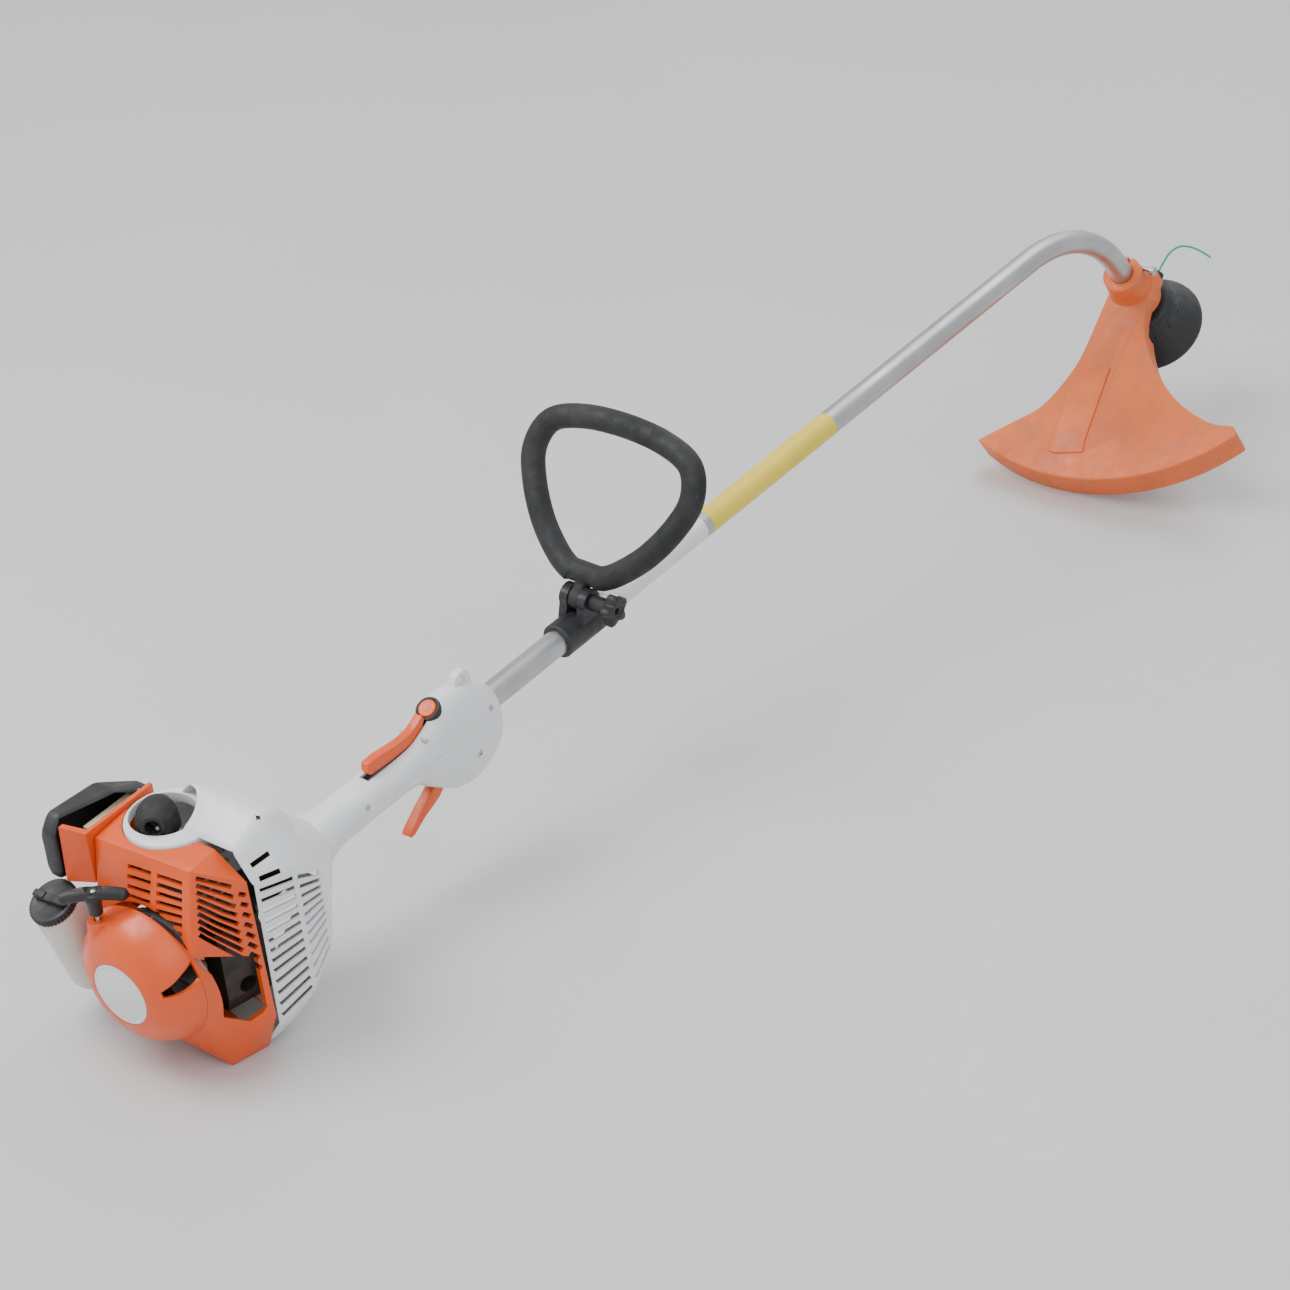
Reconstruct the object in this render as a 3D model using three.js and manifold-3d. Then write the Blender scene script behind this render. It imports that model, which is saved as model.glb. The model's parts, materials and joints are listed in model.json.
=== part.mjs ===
// Curved-shaft brush cutter: a two-stroke power head, a rear control handle, an aluminium tube that
// bends down at its far end, a loop handle, and a line head behind a deflector.
//
// Everything is modelled in the machine's own frame, in millimetres: x runs along the straight tube
// from the badge on the starter to the bend, y to the operator's left, z up and square to the tube.
// The last group turns that frame until the machine lies on the floor, on the edge of its housing,
// its tank and the rim of its deflector.

import * as THREE from "three";
import { ConvexGeometry } from "three/addons/geometries/ConvexGeometry.js";
import { mergeVertices } from "three/addons/utils/BufferGeometryUtils.js";
import Module from "manifold-3d";

const wasm = await Module();
wasm.setup();

// ---- Driving dimensions (mm and degrees) ----
const TUBE_RISE = 8.3; // slope of the straight tube when the machine lies on the floor
const AXIS_HEIGHT = 86; // height of the crank axis above the floor, at the badge
const TUBE_R = 12.7;
const TUBE_WALL = 1.5;
const TUBE_START = 168;
const BEND_START = 1396;
const BEND_R = 210;
const BEND_ANGLE = 57.7;
const TAIL = 33; // straight tube after the bend
const WALL = 2.6; // moulded plastic walls
const GAP = 0.35; // clearance between pieces that touch
const SEAM_X = 98; // orange cover meets the light shroud
const SURROUND = { x: 109, y: 20, r: 42, foot: 99 }; // light surround of the plug boot, set in the cover
const PLUG = { x: 108, y: 28, r: 30 }; // round recess over the spark plug boot
const HANDLE_START = 237;
const HANDLE_END = 488;
const BOLT = { x: 630, z: 28 }; // cross bolt of the loop handle's clamp
const LOOP_TILT = 33;
const LOOP_R = 12;
const SHIELD_R = 240; // the deflector's rim, from the cutting axis
const HEAD_R = 58;

const rad = THREE.MathUtils.degToRad;
const v = (x, y, z) => new THREE.Vector3(x, y, z);
const X = v(1, 0, 0);
const Y = v(0, 1, 0);
const Z = v(0, 0, 1);
const at = (from, direction, distance) => from.clone().addScaledVector(direction, distance);

// Floor height in the machine's frame, at a place along the tube.
const floorZ = (x) => -(AXIS_HEIGHT + x * Math.sin(rad(TUBE_RISE))) / Math.cos(rad(TUBE_RISE));

// ---- Solids ----
function solid(geometry) {
  const g = geometry.index ? geometry.toNonIndexed() : geometry.clone();
  const bare = new THREE.BufferGeometry().setAttribute("position", g.getAttribute("position"));
  const merged = mergeVertices(bare, 1e-3);
  const make = (triVerts) =>
    new wasm.Manifold(
      new wasm.Mesh({ numProp: 3, vertProperties: merged.attributes.position.array, triVerts }),
    );
  const triVerts = new Uint32Array(merged.index.array);
  const made = make(triVerts);
  return made.volume() > 0 ? made : make(triVerts.reverse());
}

const union = (first, ...rest) => rest.reduce((all, one) => all.add(one), first);
const cut = (first, ...rest) => rest.reduce((all, one) => all.subtract(one), first);

// A box between two corners.
function box(lo, hi) {
  const g = new THREE.BoxGeometry(hi[0] - lo[0], hi[1] - lo[1], hi[2] - lo[2]);
  return solid(g.translate((lo[0] + hi[0]) / 2, (lo[1] + hi[1]) / 2, (lo[2] + hi[2]) / 2));
}

// A box of full sizes (x, y, z), turned by the quaternion and centred on a point.
function turnedBox(centre, size, quaternion) {
  const g = new THREE.BoxGeometry(...size).applyQuaternion(quaternion);
  return solid(g.translate(centre.x, centre.y, centre.z));
}

// A cylinder or cone between two points.
function bar(from, to, r, endR = r, sides = 12) {
  const along = to.clone().sub(from);
  const g = new THREE.CylinderGeometry(endR, r, along.length(), sides);
  g.applyQuaternion(new THREE.Quaternion().setFromUnitVectors(Y, along.clone().normalize()));
  const middle = from.clone().add(to).multiplyScalar(0.5);
  return solid(g.translate(middle.x, middle.y, middle.z));
}

// A turned piece: profile points are [distance along the axis, radius]; it closes on the axis.
function turned(origin, axis, profile, sides = 16) {
  const points = profile.map(([along, r]) => new THREE.Vector2(r, along));
  const g = new THREE.LatheGeometry(points, sides);
  g.applyQuaternion(new THREE.Quaternion().setFromUnitVectors(Y, axis.clone().normalize()));
  return solid(g.translate(origin.x, origin.y, origin.z));
}

// A ring with a round hole through it, from one distance along the axis to another.
function ring(origin, axis, from, to, r, bore, sides = 12) {
  const body = bar(at(origin, axis, from), at(origin, axis, to), r, r, sides);
  return cut(body, bar(at(origin, axis, from - 1), at(origin, axis, to + 1), bore, bore, sides));
}

const hull = (points) => solid(new ConvexGeometry(points));

// An upright round plug at a place in the top of the housing.
const round = ({ x, y }, from, to, r, sides) => bar(v(x, y, from), v(x, y, to), r, r, sides);

// Points on a circle, for hulls.
function circle(centre, axis, r, count = 12) {
  const turn = new THREE.Quaternion().setFromUnitVectors(Z, axis.clone().normalize());
  return Array.from({ length: count }, (_, i) => {
    const a = (i / count) * 2 * Math.PI;
    return v(r * Math.cos(a), r * Math.sin(a), 0).applyQuaternion(turn).add(centre);
  });
}

// An eight-sided section square to the tube, from its four sides, with cut corners.
function section({ x, top, bottom, left, right, corner = 0.35 }, inset = 0) {
  const [t, b, l, r] = [top - inset, bottom + inset, left - inset, right + inset];
  const dy = (corner * (l - r)) / 2;
  const dz = (corner * (t - b)) / 2;
  return [
    [l, t - dz],
    [l - dy, t],
    [r + dy, t],
    [r, t - dz],
    [r, b + dz],
    [r + dy, b],
    [l - dy, b],
    [l, b + dz],
  ].map(([y, z]) => v(x, y, z));
}

// A body through a row of sections, as the union of the hulls between neighbours.
function loft(sections, inset = 0) {
  const pairs = sections.slice(1).map((s, i) => {
    return hull([...section(sections[i], inset), ...section(s, inset)]);
  });
  return union(...pairs);
}

// A hollow body through sections, open at both ends.
function hollowLoft(sections, wall) {
  const first = { ...sections[0], x: sections[0].x - 1 };
  const last = { ...sections.at(-1), x: sections.at(-1).x + 1 };
  return cut(loft(sections), loft([first, ...sections.slice(1, -1), last], wall));
}

// A path made of stretches; each has its own count of steps, so straight stretches cost one step.
class SteppedPath extends THREE.Curve {
  constructor(points) {
    super();
    this.points = points;
  }
  getPoint(t, target = new THREE.Vector3()) {
    const last = this.points.length - 1;
    const i = Math.min(last - 1, Math.floor(t * last + 1e-6));
    return target.lerpVectors(this.points[i], this.points[i + 1], t * last - i);
  }
  getPointAt(t, target) {
    return this.getPoint(t, target);
  }
  getTangentAt(t) {
    const step = 0.5 / (this.points.length - 1);
    const ahead = this.getPoint(Math.min(1, t + step));
    return ahead.sub(this.getPoint(Math.max(0, t - step))).normalize();
  }
}

// A round bar or, with a bore, a tube along a path.
function tube(points, r, bore = 0, sides = 12) {
  const shape = new THREE.Shape().absarc(0, 0, r, 0, 2 * Math.PI);
  if (bore) shape.holes.push(new THREE.Path().absarc(0, 0, bore, 0, 2 * Math.PI));
  const path = new SteppedPath(points);
  const options = { extrudePath: path, steps: points.length - 1, curveSegments: sides / 2 };
  return solid(new THREE.ExtrudeGeometry(shape, options));
}

// ---- The node list ----
const machine = new THREE.Group();

const paint = (color, roughness, metalness = 0) =>
  new THREE.MeshStandardMaterial({ color, roughness, metalness });
const ORANGE = paint(0xe8590c, 0.38);
const LIGHT = paint(0xe6e8e8, 0.4);
const BLACK = paint(0x242628, 0.5);
const RUBBER = paint(0x1e1f20, 0.85);
const ALUMINIUM = paint(0xb8bbbd, 0.35, 1);
const CAST = paint(0x8d9092, 0.6, 1);
const STEEL = paint(0x9a9c9f, 0.4, 1);
const MUFFLER = paint(0x4b4846, 0.7, 1);
const TANK = paint(0xd9d8cf, 0.35);
const FELT = paint(0xd9cfa8, 0.95);
const NYLON = paint(0x3fb58c, 0.4);
const ROPE = paint(0xe9e9e4, 0.9);

function add(name, body, material) {
  const { numProp, vertProperties, triVerts } = body.getMesh();
  const positions = new Float32Array((vertProperties.length / numProp) * 3);
  for (let i = 0; i < positions.length / 3; i++) {
    positions.set(vertProperties.subarray(i * numProp, i * numProp + 3), i * 3);
  }
  const g = new THREE.BufferGeometry();
  g.setAttribute("position", new THREE.BufferAttribute(positions, 3));
  g.setIndex(new THREE.BufferAttribute(triVerts, 1));
  const mesh = new THREE.Mesh(g, material);
  mesh.name = name;
  machine.add(mesh);
}

// Half the space, below the floor, for trimming what stands on it.
const belowFloor = turnedBox(
  v(100, 0, floorZ(100) - 100 / Math.cos(rad(TUBE_RISE))),
  [900, 900, 200],
  new THREE.Quaternion().setFromAxisAngle(Y, rad(TUBE_RISE)),
);

// ---- Starter ----
const ROPE_Y = 32; // the rope leaves the pulley here and runs straight up
const ROPE_X = 19;
const GRIP_Z = 82;

function starter() {
  const dome = (grow) => [
    [0, 0],
    [0, 33 - grow],
    [3, 42 - grow],
    [8, 51 - grow],
    [16, 59 - grow],
    [26, 64 - grow],
    [36, 66 - grow],
    [36, 0],
  ];
  const outer = turned(v(0, 0, 0), X, dome(0), 20);
  const guide = bar(v(ROPE_X, ROPE_Y, 28), v(ROPE_X, ROPE_Y, 55.5), 12, 9.5, 16);
  const inner = turned(v(WALL, 0, 0), X, dome(WALL), 20);
  const post = bar(v(1, 0, 0), v(25.5, 0, 0), 3.8, 3.8, 16);
  const ropeHole = bar(v(ROPE_X, ROPE_Y, 10), v(ROPE_X, ROPE_Y, 70), 3.2, 3.2, 12);
  const badgeSeat = bar(v(-1, 0, 0), v(0.8, 0, 0), 30.3, 30.3, 24);
  const shell = union(cut(union(outer, guide), inner), post);
  add("starter_housing", cut(shell, ropeHole, badgeSeat), ORANGE);
  add("badge_plate", bar(v(-0.5, 0, 0), v(0.5, 0, 0), 30, 30, 24), LIGHT);

  const groove = [
    [14.5, 0],
    [14.5, 35.5],
    [16, 35.5],
    [17, 29.5],
    [21, 29.5],
    [22, 35.5],
    [23.5, 35.5],
    [23.5, 0],
  ];
  const postBore = bar(v(10, 0, 0), v(30, 0, 0), 4.2, 4.2, 16);
  add("starter_pulley", cut(turned(v(0, 0, 0), X, groove, 20), postBore), BLACK);
  add("recoil_spring", ring(v(0, 0, 0), X, 7.5, 13.5, 26, 9), STEEL);

  // The grip: a curved cross bar on a stem, its bar turned 37 degrees off square to the tube.
  const across = v(0.607, -0.795, 0);
  const bow = Array.from({ length: 7 }, (_, i) => {
    const t = i / 3 - 1;
    return at(v(ROPE_X, ROPE_Y, GRIP_Z - 5 * t * t), across, 31 * t);
  });
  const crossBar = tube(bow, 6.5, 0, 12);
  const stem = bar(v(ROPE_X, ROPE_Y, 56), v(ROPE_X, ROPE_Y, GRIP_Z), 6, 8, 16);
  const bore = bar(v(ROPE_X, ROPE_Y, 50), v(ROPE_X, ROPE_Y, GRIP_Z + 10), 2.4, 2.4, 12);
  add("starter_grip", cut(union(crossBar, stem), bore), BLACK);
  add("starter_rope", bar(v(ROPE_X, ROPE_Y, -2), v(ROPE_X, ROPE_Y, GRIP_Z), 1.8, 1.8, 8), ROPE);
}

// ---- Engine cover: the orange shell round the fan and the silencer ----
// Corners of the cover, named by where they are.
const COVER = {
  topLeft: v(58, 62, 104),
  topRight: v(64, -43, 106),
  ribFoot: v(39, -52, 34),
  leftFoot: v(42, 62, 12),
  seamTop: v(SEAM_X, -40, 106),
  seamTopLeft: v(SEAM_X, 62, 108),
  seamRight: v(SEAM_X, -72, 84),
  seamLow: v(SEAM_X, -78, -60),
  toe: v(57, -58, floorZ(57)),
  seamToe: v(SEAM_X, -62, floorZ(SEAM_X)),
  seamLeft: v(SEAM_X, 62, 12),
};

// The same corners moved in by the wall, towards the middle of the cover.
function coverHulls(inset) {
  const middle = v(SEAM_X, -8, 2);
  const moved = (p) => {
    const d = p.clone().sub(middle);
    const scale = (n) => (Math.abs(n) < 1 ? n : n - Math.sign(n) * inset * 1.3);
    return v(SEAM_X + (inset ? (Math.abs(d.x) < 1 ? 1 : d.x + inset * 1.3) : d.x), 0, 0).add(
      v(0, middle.y + scale(d.y), middle.z + scale(d.z)),
    );
  };
  const c = Object.fromEntries(Object.entries(COVER).map(([k, p]) => [k, moved(p)]));
  const upper = [c.topLeft, c.topRight, c.ribFoot, c.leftFoot, c.seamTop, c.seamTopLeft];
  upper.push(c.seamRight, c.seamLow, c.seamLeft);
  const dome = circle(v(36.4 + inset * 0.2, 0, 0), X, 66 - inset, 16);
  const lower = [...dome, c.ribFoot, c.seamLow, c.toe, c.seamToe];
  lower.push(v(SEAM_X + (inset ? 1 : 0), 20, -66 + inset));
  return union(hull(upper), hull(lower));
}

// A row of equal slots through a wall: boxes stepped downwards from a first centre.
function slots(first, step, count, size, quaternion) {
  return Array.from({ length: count }, (_, i) =>
    turnedBox(at(first, step, i), size, quaternion),
  );
}

function engineCover() {
  const faceTurn = new THREE.Quaternion().setFromUnitVectors(v(0, 1, 0), v(0.62, 0.785, 0).normalize());
  const rear = [
    ...slots(v(56, 10, 92), v(-2.6, 0, -9.6), 7, [40, 28, 4], new THREE.Quaternion()),
    ...slots(v(56, -24, 92), v(-2.6, 0, -9.6), 6, [40, 28, 4], new THREE.Quaternion()),
  ];
  const side = slots(v(76, -60, 84), v(-1.5, 0, -10), 6, [34, 40, 4.4], faceTurn);
  const frame = [v(52, -95, 26), v(92, -95, 6), v(92, -95, -48), v(74, -95, -52), v(52, -95, -34)];
  const window = hull(frame.flatMap((p) => [p, v(p.x, -40, p.z)]));
  const shaftHole = bar(v(20, 0, 0), v(60, 0, 0), 60, 60, 20);
  const roomSide = [[57, 84], [SEAM_X + 4, 84], [SEAM_X + 4, 20], [46, 20]];
  const room = hull(roomSide.flatMap(([x, z]) => [v(x, -38, z), v(x, 50, z)]));
  const recess = round(SURROUND, SURROUND.foot - GAP, 140, SURROUND.r + GAP, 24);
  const holes = [shaftHole, room, window, recess, ...rear, ...side];
  const shell = cut(coverHulls(0), coverHulls(WALL), ...holes);
  const pieces = cut(shell, belowFloor).decompose();
  pieces.sort((a, b) => b.volume() - a.volume());
  add("engine_cover", pieces[0], ORANGE);
}

// ---- Light shroud: top, right side and the cone down to the handle ----
const SHROUD = [
  { x: SEAM_X + GAP, top: 110, bottom: floorZ(SEAM_X), left: 62, right: -79, corner: 0.26 },
  { x: 134, top: 127, bottom: -98, left: 58, right: -94, corner: 0.42 },
  { x: 168, top: 108, bottom: -78, left: 54, right: -88, corner: 0.55 },
  { x: 205, top: 62, bottom: -46, left: 46, right: -56, corner: 0.55 },
  { x: 236, top: 31, bottom: -31, left: 31, right: -31, corner: 0.55 },
];

function shroud() {
  const surround = round(SURROUND, SURROUND.foot, 109.5, SURROUND.r, 24);
  const shell = union(hollowLoft(SHROUD, WALL), cut(surround, box([SEAM_X, -90, 90], [200, 90, 104])));
  // The tank side is open below, and the plug needs a recess in the top.
  const tankSide = box([SEAM_X - 2, -8, -130], [215, 90, -33]);
  const plugHole = round(PLUG, 80, 150, PLUG.r, 20);
  const tilt = new THREE.Quaternion().setFromAxisAngle(Z, rad(-14));
  const side = slots(v(118, -92, 56), v(1, 0, -11), 10, [26, 40, 4], tilt);
  const front = slots(v(156, -88, 44), v(1, 0, -11), 8, [26, 40, 3.4], tilt);
  const cuts = [tankSide, plugHole, belowFloor, ...side, ...front];
  const pieces = cut(shell, ...cuts).decompose();
  pieces.sort((a, b) => b.volume() - a.volume());
  add("engine_shroud", pieces[0], LIGHT);
}

// ---- Engine ----
const CYL_X = 94; // the cylinder stands on the crankcase here
const CRANK_THROW = 15;

function engine() {
  const axis = v(0, 0, 0);
  const caseBody = box([72, -32, -32], [116, 32, 34]);
  const chamber = bar(v(80, 0, 0), v(108, 0, 0), 26, 26, 16);
  const bores = bar(v(60, 0, 0), v(130, 0, 0), 10, 10, 12);
  const mouth = bar(v(CYL_X, 0, 0), v(CYL_X, 0, 40), 17, 17, 16);
  add("crankcase", cut(caseBody, chamber, bores, mouth), CAST);
  add("rear_bearing", ring(axis, X, 72.4, 79, 9.7, 6.3), STEEL);
  add("front_bearing", ring(axis, X, 109, 115.6, 9.7, 6.3), STEEL);

  const webs = [82.5, 98.5].map((x) => bar(v(x, 0, 0), v(x + 7, 0, 0), 24, 24, 20));
  const pin = bar(v(89, 0, CRANK_THROW), v(99, 0, CRANK_THROW), 5, 5, 12);
  const journals = [
    bar(v(29, 0, 0), v(83, 0, 0), 6, 6, 12),
    bar(v(105, 0, 0), v(131.5, 0, 0), 6, 6, 12),
  ];
  add("crankshaft", union(webs[0], webs[1], pin, ...journals), STEEL);

  const plugAxis = v(0, Math.sin(rad(35)), Math.cos(rad(35)));
  const plugSeat = v(CYL_X, 3, 80);
  const barrel = bar(v(CYL_X, 0, 34.5), v(CYL_X, 0, 93), 22, 22, 16);
  const fins = [47, 59, 71, 83].map((z) => {
    return box([CYL_X - 28, -28.5, z], [CYL_X + 28, 28.5, z + 2.4]);
  });
  const bore = bar(v(CYL_X, 0, 30), v(CYL_X, 0, 84), 17, 17, 16);
  const plugBore = bar(plugSeat, at(plugSeat, plugAxis, 40), 10.4, 10.4, 16);
  add("cylinder", cut(union(barrel, ...fins), bore, plugBore), CAST);

  const skirt = bar(v(CYL_X, 0, 58), v(CYL_X, 0, 80), 16.3, 16.3, 16);
  const inside = bar(v(CYL_X, 0, 50), v(CYL_X, 0, 76.5), 13.4, 13.4, 16);
  const pinBore = bar(v(70, 0, 65), v(120, 0, 65), 4.3, 4.3, 12);
  add("piston", cut(skirt, inside, pinBore), ALUMINIUM);
  add("piston_pin", bar(v(CYL_X - 14, 0, 65), v(CYL_X + 14, 0, 65), 4, 4, 12), STEEL);

  // The rod's big end is opened where the crank pin runs, so that the crank can turn alone.
  const eye = bar(v(CYL_X - 3, 0, 65), v(CYL_X + 3, 0, 65), 7.5, 7.5, 16);
  const shank = box([CYL_X - 3, -4.5, 18], [CYL_X + 3, 4.5, 62]);
  const sweep = bar(v(80, 0, 0), v(110, 0, 0), 20.8, 20.8, 16);
  add("connecting_rod", cut(union(eye, shank), pinBore, sweep), STEEL);

  // Spark plug and its boot.
  const nose = bar(at(plugSeat, plugAxis, 6), at(plugSeat, plugAxis, 18), 6.8, 6.8, 12);
  const hex = bar(at(plugSeat, plugAxis, 15), at(plugSeat, plugAxis, 22), 9.6, 9.6, 6);
  const insulator = bar(at(plugSeat, plugAxis, 20), at(plugSeat, plugAxis, 34), 4.6, 3.6, 12);
  add("spark_plug", union(nose, hex, insulator), STEEL);
  const bootFoot = at(plugSeat, plugAxis, 23);
  const bootBend = at(plugSeat, plugAxis, 38);
  const tail = v(128, 32, 124);
  const boot = union(
    bar(bootFoot, bootBend, 10, 12, 12),
    hull([...circle(at(bootBend, plugAxis, -3), plugAxis, 12.5, 12), ...circle(tail, v(1, 0, 0.1), 7, 12)]),
  );
  add("plug_boot", cut(boot, bar(plugSeat, at(plugSeat, plugAxis, 35), 5, 5, 10)), RUBBER);

  // Fan wheel with blades, and the coil that its magnets pass.
  const disc = union(bar(v(50, 0, 0), v(57, 0, 0), 51, 51, 20), bar(v(44, 0, 0), v(56, 0, 0), 12));
  const blades = Array.from({ length: 8 }, (_, i) => {
    const turn = new THREE.Quaternion().setFromAxisAngle(X, (i / 8) * 2 * Math.PI);
    return turnedBox(v(46, 0, 33).applyQuaternion(turn), [9, 2.4, 32], turn);
  });
  const wheelBore = bar(v(40, 0, 0), v(60, 0, 0), 6.2, 6.2, 12);
  add("fan_wheel", cut(union(disc, ...blades), wheelBore), CAST);
  add("ignition_coil", box([54.6, -14, 53], [63.8, 14, 67]), BLACK);
}

// ---- Clutch and drive ----
function clutch() {
  const axis = v(0, 0, 0);
  const shoes = ring(axis, X, 118.5, 130, 23.5, 6.3);
  add("clutch_shoes", cut(shoes, box([110, -40, -1.2], [140, -7, 1.2])), STEEL);
  add(
    "clutch_drum",
    cut(
      union(bar(v(117.5, 0, 0), v(137, 0, 0), 28, 28, 16), bar(v(136, 0, 0), v(176, 0, 0), 6, 6, 12)),
      bar(v(110, 0, 0), v(133, 0, 0), 25, 25, 16),
      bar(v(160, 0, 0), v(180, 0, 0), 3.3, 3.3, 8),
    ),
    STEEL,
  );
  add("drum_bearing", ring(axis, X, 140, 147, 11.7, 6.3), STEEL);
  const bell = [
    [117, 0],
    [117, 32],
    [140, 31],
    [152, 20],
    [205, 18.5],
    [205, 0],
  ];
  const bellCut = union(
    bar(v(110, 0, 0), v(138.5, 0, 0), 29, 29, 24),
    bar(v(130, 0, 0), v(166, 0, 0), 12, 12, 20),
    bar(v(160, 0, 0), v(210, 0, 0), TUBE_R + GAP * 3, TUBE_R + GAP * 3, 12),
  );
  add("clutch_bell", cut(turned(v(0, 0, 0), X, bell), bellCut), BLACK);
}

// The tube's centre line: straight, then a bend down of BEND_ANGLE, then the straight tail.
const bendCentre = v(BEND_START, 0, -BEND_R);
const onBend = (angle) =>
  v(BEND_START + BEND_R * Math.sin(angle), 0, -BEND_R * (1 - Math.cos(angle)));
const BEND_STEPS = 8;
const bendPoints = Array.from({ length: BEND_STEPS + 1 }, (_, i) =>
  onBend((rad(BEND_ANGLE) * i) / BEND_STEPS),
);
const OUT = v(Math.cos(rad(BEND_ANGLE)), 0, -Math.sin(rad(BEND_ANGLE))); // the cutting axis
const BACK = v(-Math.sin(rad(BEND_ANGLE)), 0, -Math.cos(rad(BEND_ANGLE))); // to the operator's feet
const TUBE_END = at(bendPoints.at(-1), OUT, TAIL);
// A place at the cutting end: along the cutting axis, back towards the operator, and to the left.
const headPoint = (out, back, left = 0) =>
  at(at(at(TUBE_END, OUT, out), BACK, back), Y, left);

function drive() {
  const line = (from) => [v(from, 0, 0), ...bendPoints];
  add("shaft_tube", tube([...line(TUBE_START), TUBE_END], TUBE_R, TUBE_R - TUBE_WALL), ALUMINIUM);
  add("shaft_liner", tube([...line(190), headPoint(-4, 0)], 6.2, 4.6, 12), BLACK);
  add("flexible_shaft", bar(v(161, 0, 0), v(BEND_START - 4, 0, 0), 3, 3, 8), STEEL);
  add("flexible_shaft_bend", tube(bendPoints, 3, 0, 8), STEEL);
}

// ---- Silencer, carburettor and air filter ----
function breathing() {
  const can = hull([
    ...section({ x: 68, top: 38, bottom: -44, left: -37, right: -56, corner: 0.3 }),
    ...section({ x: 110, top: 38, bottom: -44, left: -37, right: -68, corner: 0.3 }),
  ]);
  const port = bar(v(94, -50, -22), v(80, -76, -26), 8, 8, 12);
  add("silencer", cut(can, port), MUFFLER);
  add("intake_spacer", box([80, 29.2, 46], [108, 35.6, 72]), BLACK);
  const throttleBore = bar(v(94, 30, 59), v(94, 70, 59), 8, 8, 16);
  add("carburettor", cut(box([78, 36, 42], [110, 56, 76]), throttleBore), CAST);
  add("filter_base", union(
    cut(box([50, 63, 60], [132, 67, 112]), throttleBore.translate([0, 5, 0])),
    hull([v(50, 63, 60), v(50, 63, 112), v(56, 63, 60), v(56, 63, 112), v(37, 84, 62), v(40, 84, 118),
      v(42, 84, 62), v(45, 84, 118)]),
  ), ORANGE);
  add("filter_element", box([62, 67.5, 66], [126, 79, 106]), FELT);
  const sections = [
    { x: 34, top: 112, bottom: 64, left: 103, right: 85 },
    { x: 46, top: 124, bottom: 60, left: 106, right: 85 },
    { x: 100, top: 121, bottom: 58, left: 106, right: 70 },
    { x: 140, top: 100, bottom: 62, left: 96, right: 70 },
  ];
  const rows = sections.map((s) => section(s));
  const inner = sections.map((s) => section({ ...s, right: s.right - 4 }, WALL));
  inner[0].forEach((p) => (p.x += WALL));
  inner[3].forEach((p) => (p.x -= WALL));
  const join = (r) => union(...r.slice(1).map((one, i) => hull([...r[i], ...one])));
  const baseRoom = box([44, 60, 57], [134, 80, 120]);
  add("filter_cover", cut(join(rows), join(inner), baseRoom), BLACK);
}

// ---- Fuel tank and cap ----
const CAP = { at: v(26, 92, 40), axis: v(-0.4, 0.1, 0.9).normalize() };

function fuel() {
  const rearBulge = hull([
    ...circle(CAP.at, CAP.axis, 22.5, 20),
    ...circle(v(52, 92, -50), v(-0.2, 0, 1), 22, 16),
    ...circle(v(66, 92, -74), v(0, 0, 1), 14, 12),
    v(100, 70, -44),
    v(100, 112, -44),
  ]);
  const main = loft([
    { x: 62, top: -44, bottom: floorZ(62) + 12, left: 112, right: 66, corner: 0.5 },
    { x: 82, top: -38, bottom: floorZ(82) - 2, left: 118, right: -7, corner: 0.3 },
    { x: 150, top: -38, bottom: floorZ(150) - 2, left: 114, right: -7, corner: 0.3 },
    { x: 176, top: -46, bottom: floorZ(176) + 16, left: 96, right: -7, corner: 0.5 },
  ]);
  const neck = bar(CAP.at, at(CAP.at, CAP.axis, 5), 18, 18, 20);
  add("fuel_tank", cut(union(rearBulge, main, neck), belowFloor, coverHulls(-2 * GAP)), TANK);
  const lid = bar(at(CAP.at, CAP.axis, 0.5), at(CAP.at, CAP.axis, 8), 23, 23, 24);
  const socket = bar(at(CAP.at, CAP.axis, -1), at(CAP.at, CAP.axis, 5.5), 18.5, 18.5, 20);
  const turn = new THREE.Quaternion().setFromUnitVectors(Z, CAP.axis);
  const wing = turnedBox(at(CAP.at, CAP.axis, 11), [7, 36, 8], turn);
  add("fuel_cap", cut(union(lid, wing), socket), BLACK);
}

// ---- Rear handle with its controls ----
const HANDLE = [
  { x: HANDLE_START, top: 28, bottom: -28, left: 28, right: -28, corner: 0.55 },
  { x: 262, top: 22, bottom: -22, left: 21, right: -21, corner: 0.55 },
  { x: 292, top: 19.8, bottom: -20, left: 19.6, right: -19.6, corner: 0.5 },
  { x: 366, top: 20, bottom: -21, left: 19.6, right: -19.6, corner: 0.5 },
  { x: 392, top: 28, bottom: -37, left: 20, right: -20, corner: 0.5 },
  { x: 424, top: 45, bottom: -60, left: 23, right: -23, corner: 0.5 },
  { x: 450, top: 42, bottom: -65, left: 24, right: -24, corner: 0.5 },
  { x: 474, top: 30, bottom: -57, left: 22, right: -22, corner: 0.5 },
  { x: HANDLE_END, top: 17, bottom: -46, left: 17, right: -17, corner: 0.5 },
];
const BUTTON = { at: v(411, 0, 37), axis: v(-0.5, 0, 0.866).normalize() };
const TRIGGER_PIVOT = v(416, 0, -32);
const LOCKOUT_PIVOT = v(388, 0, 21.5);
const EYE = v(455, 0, 44);

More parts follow.
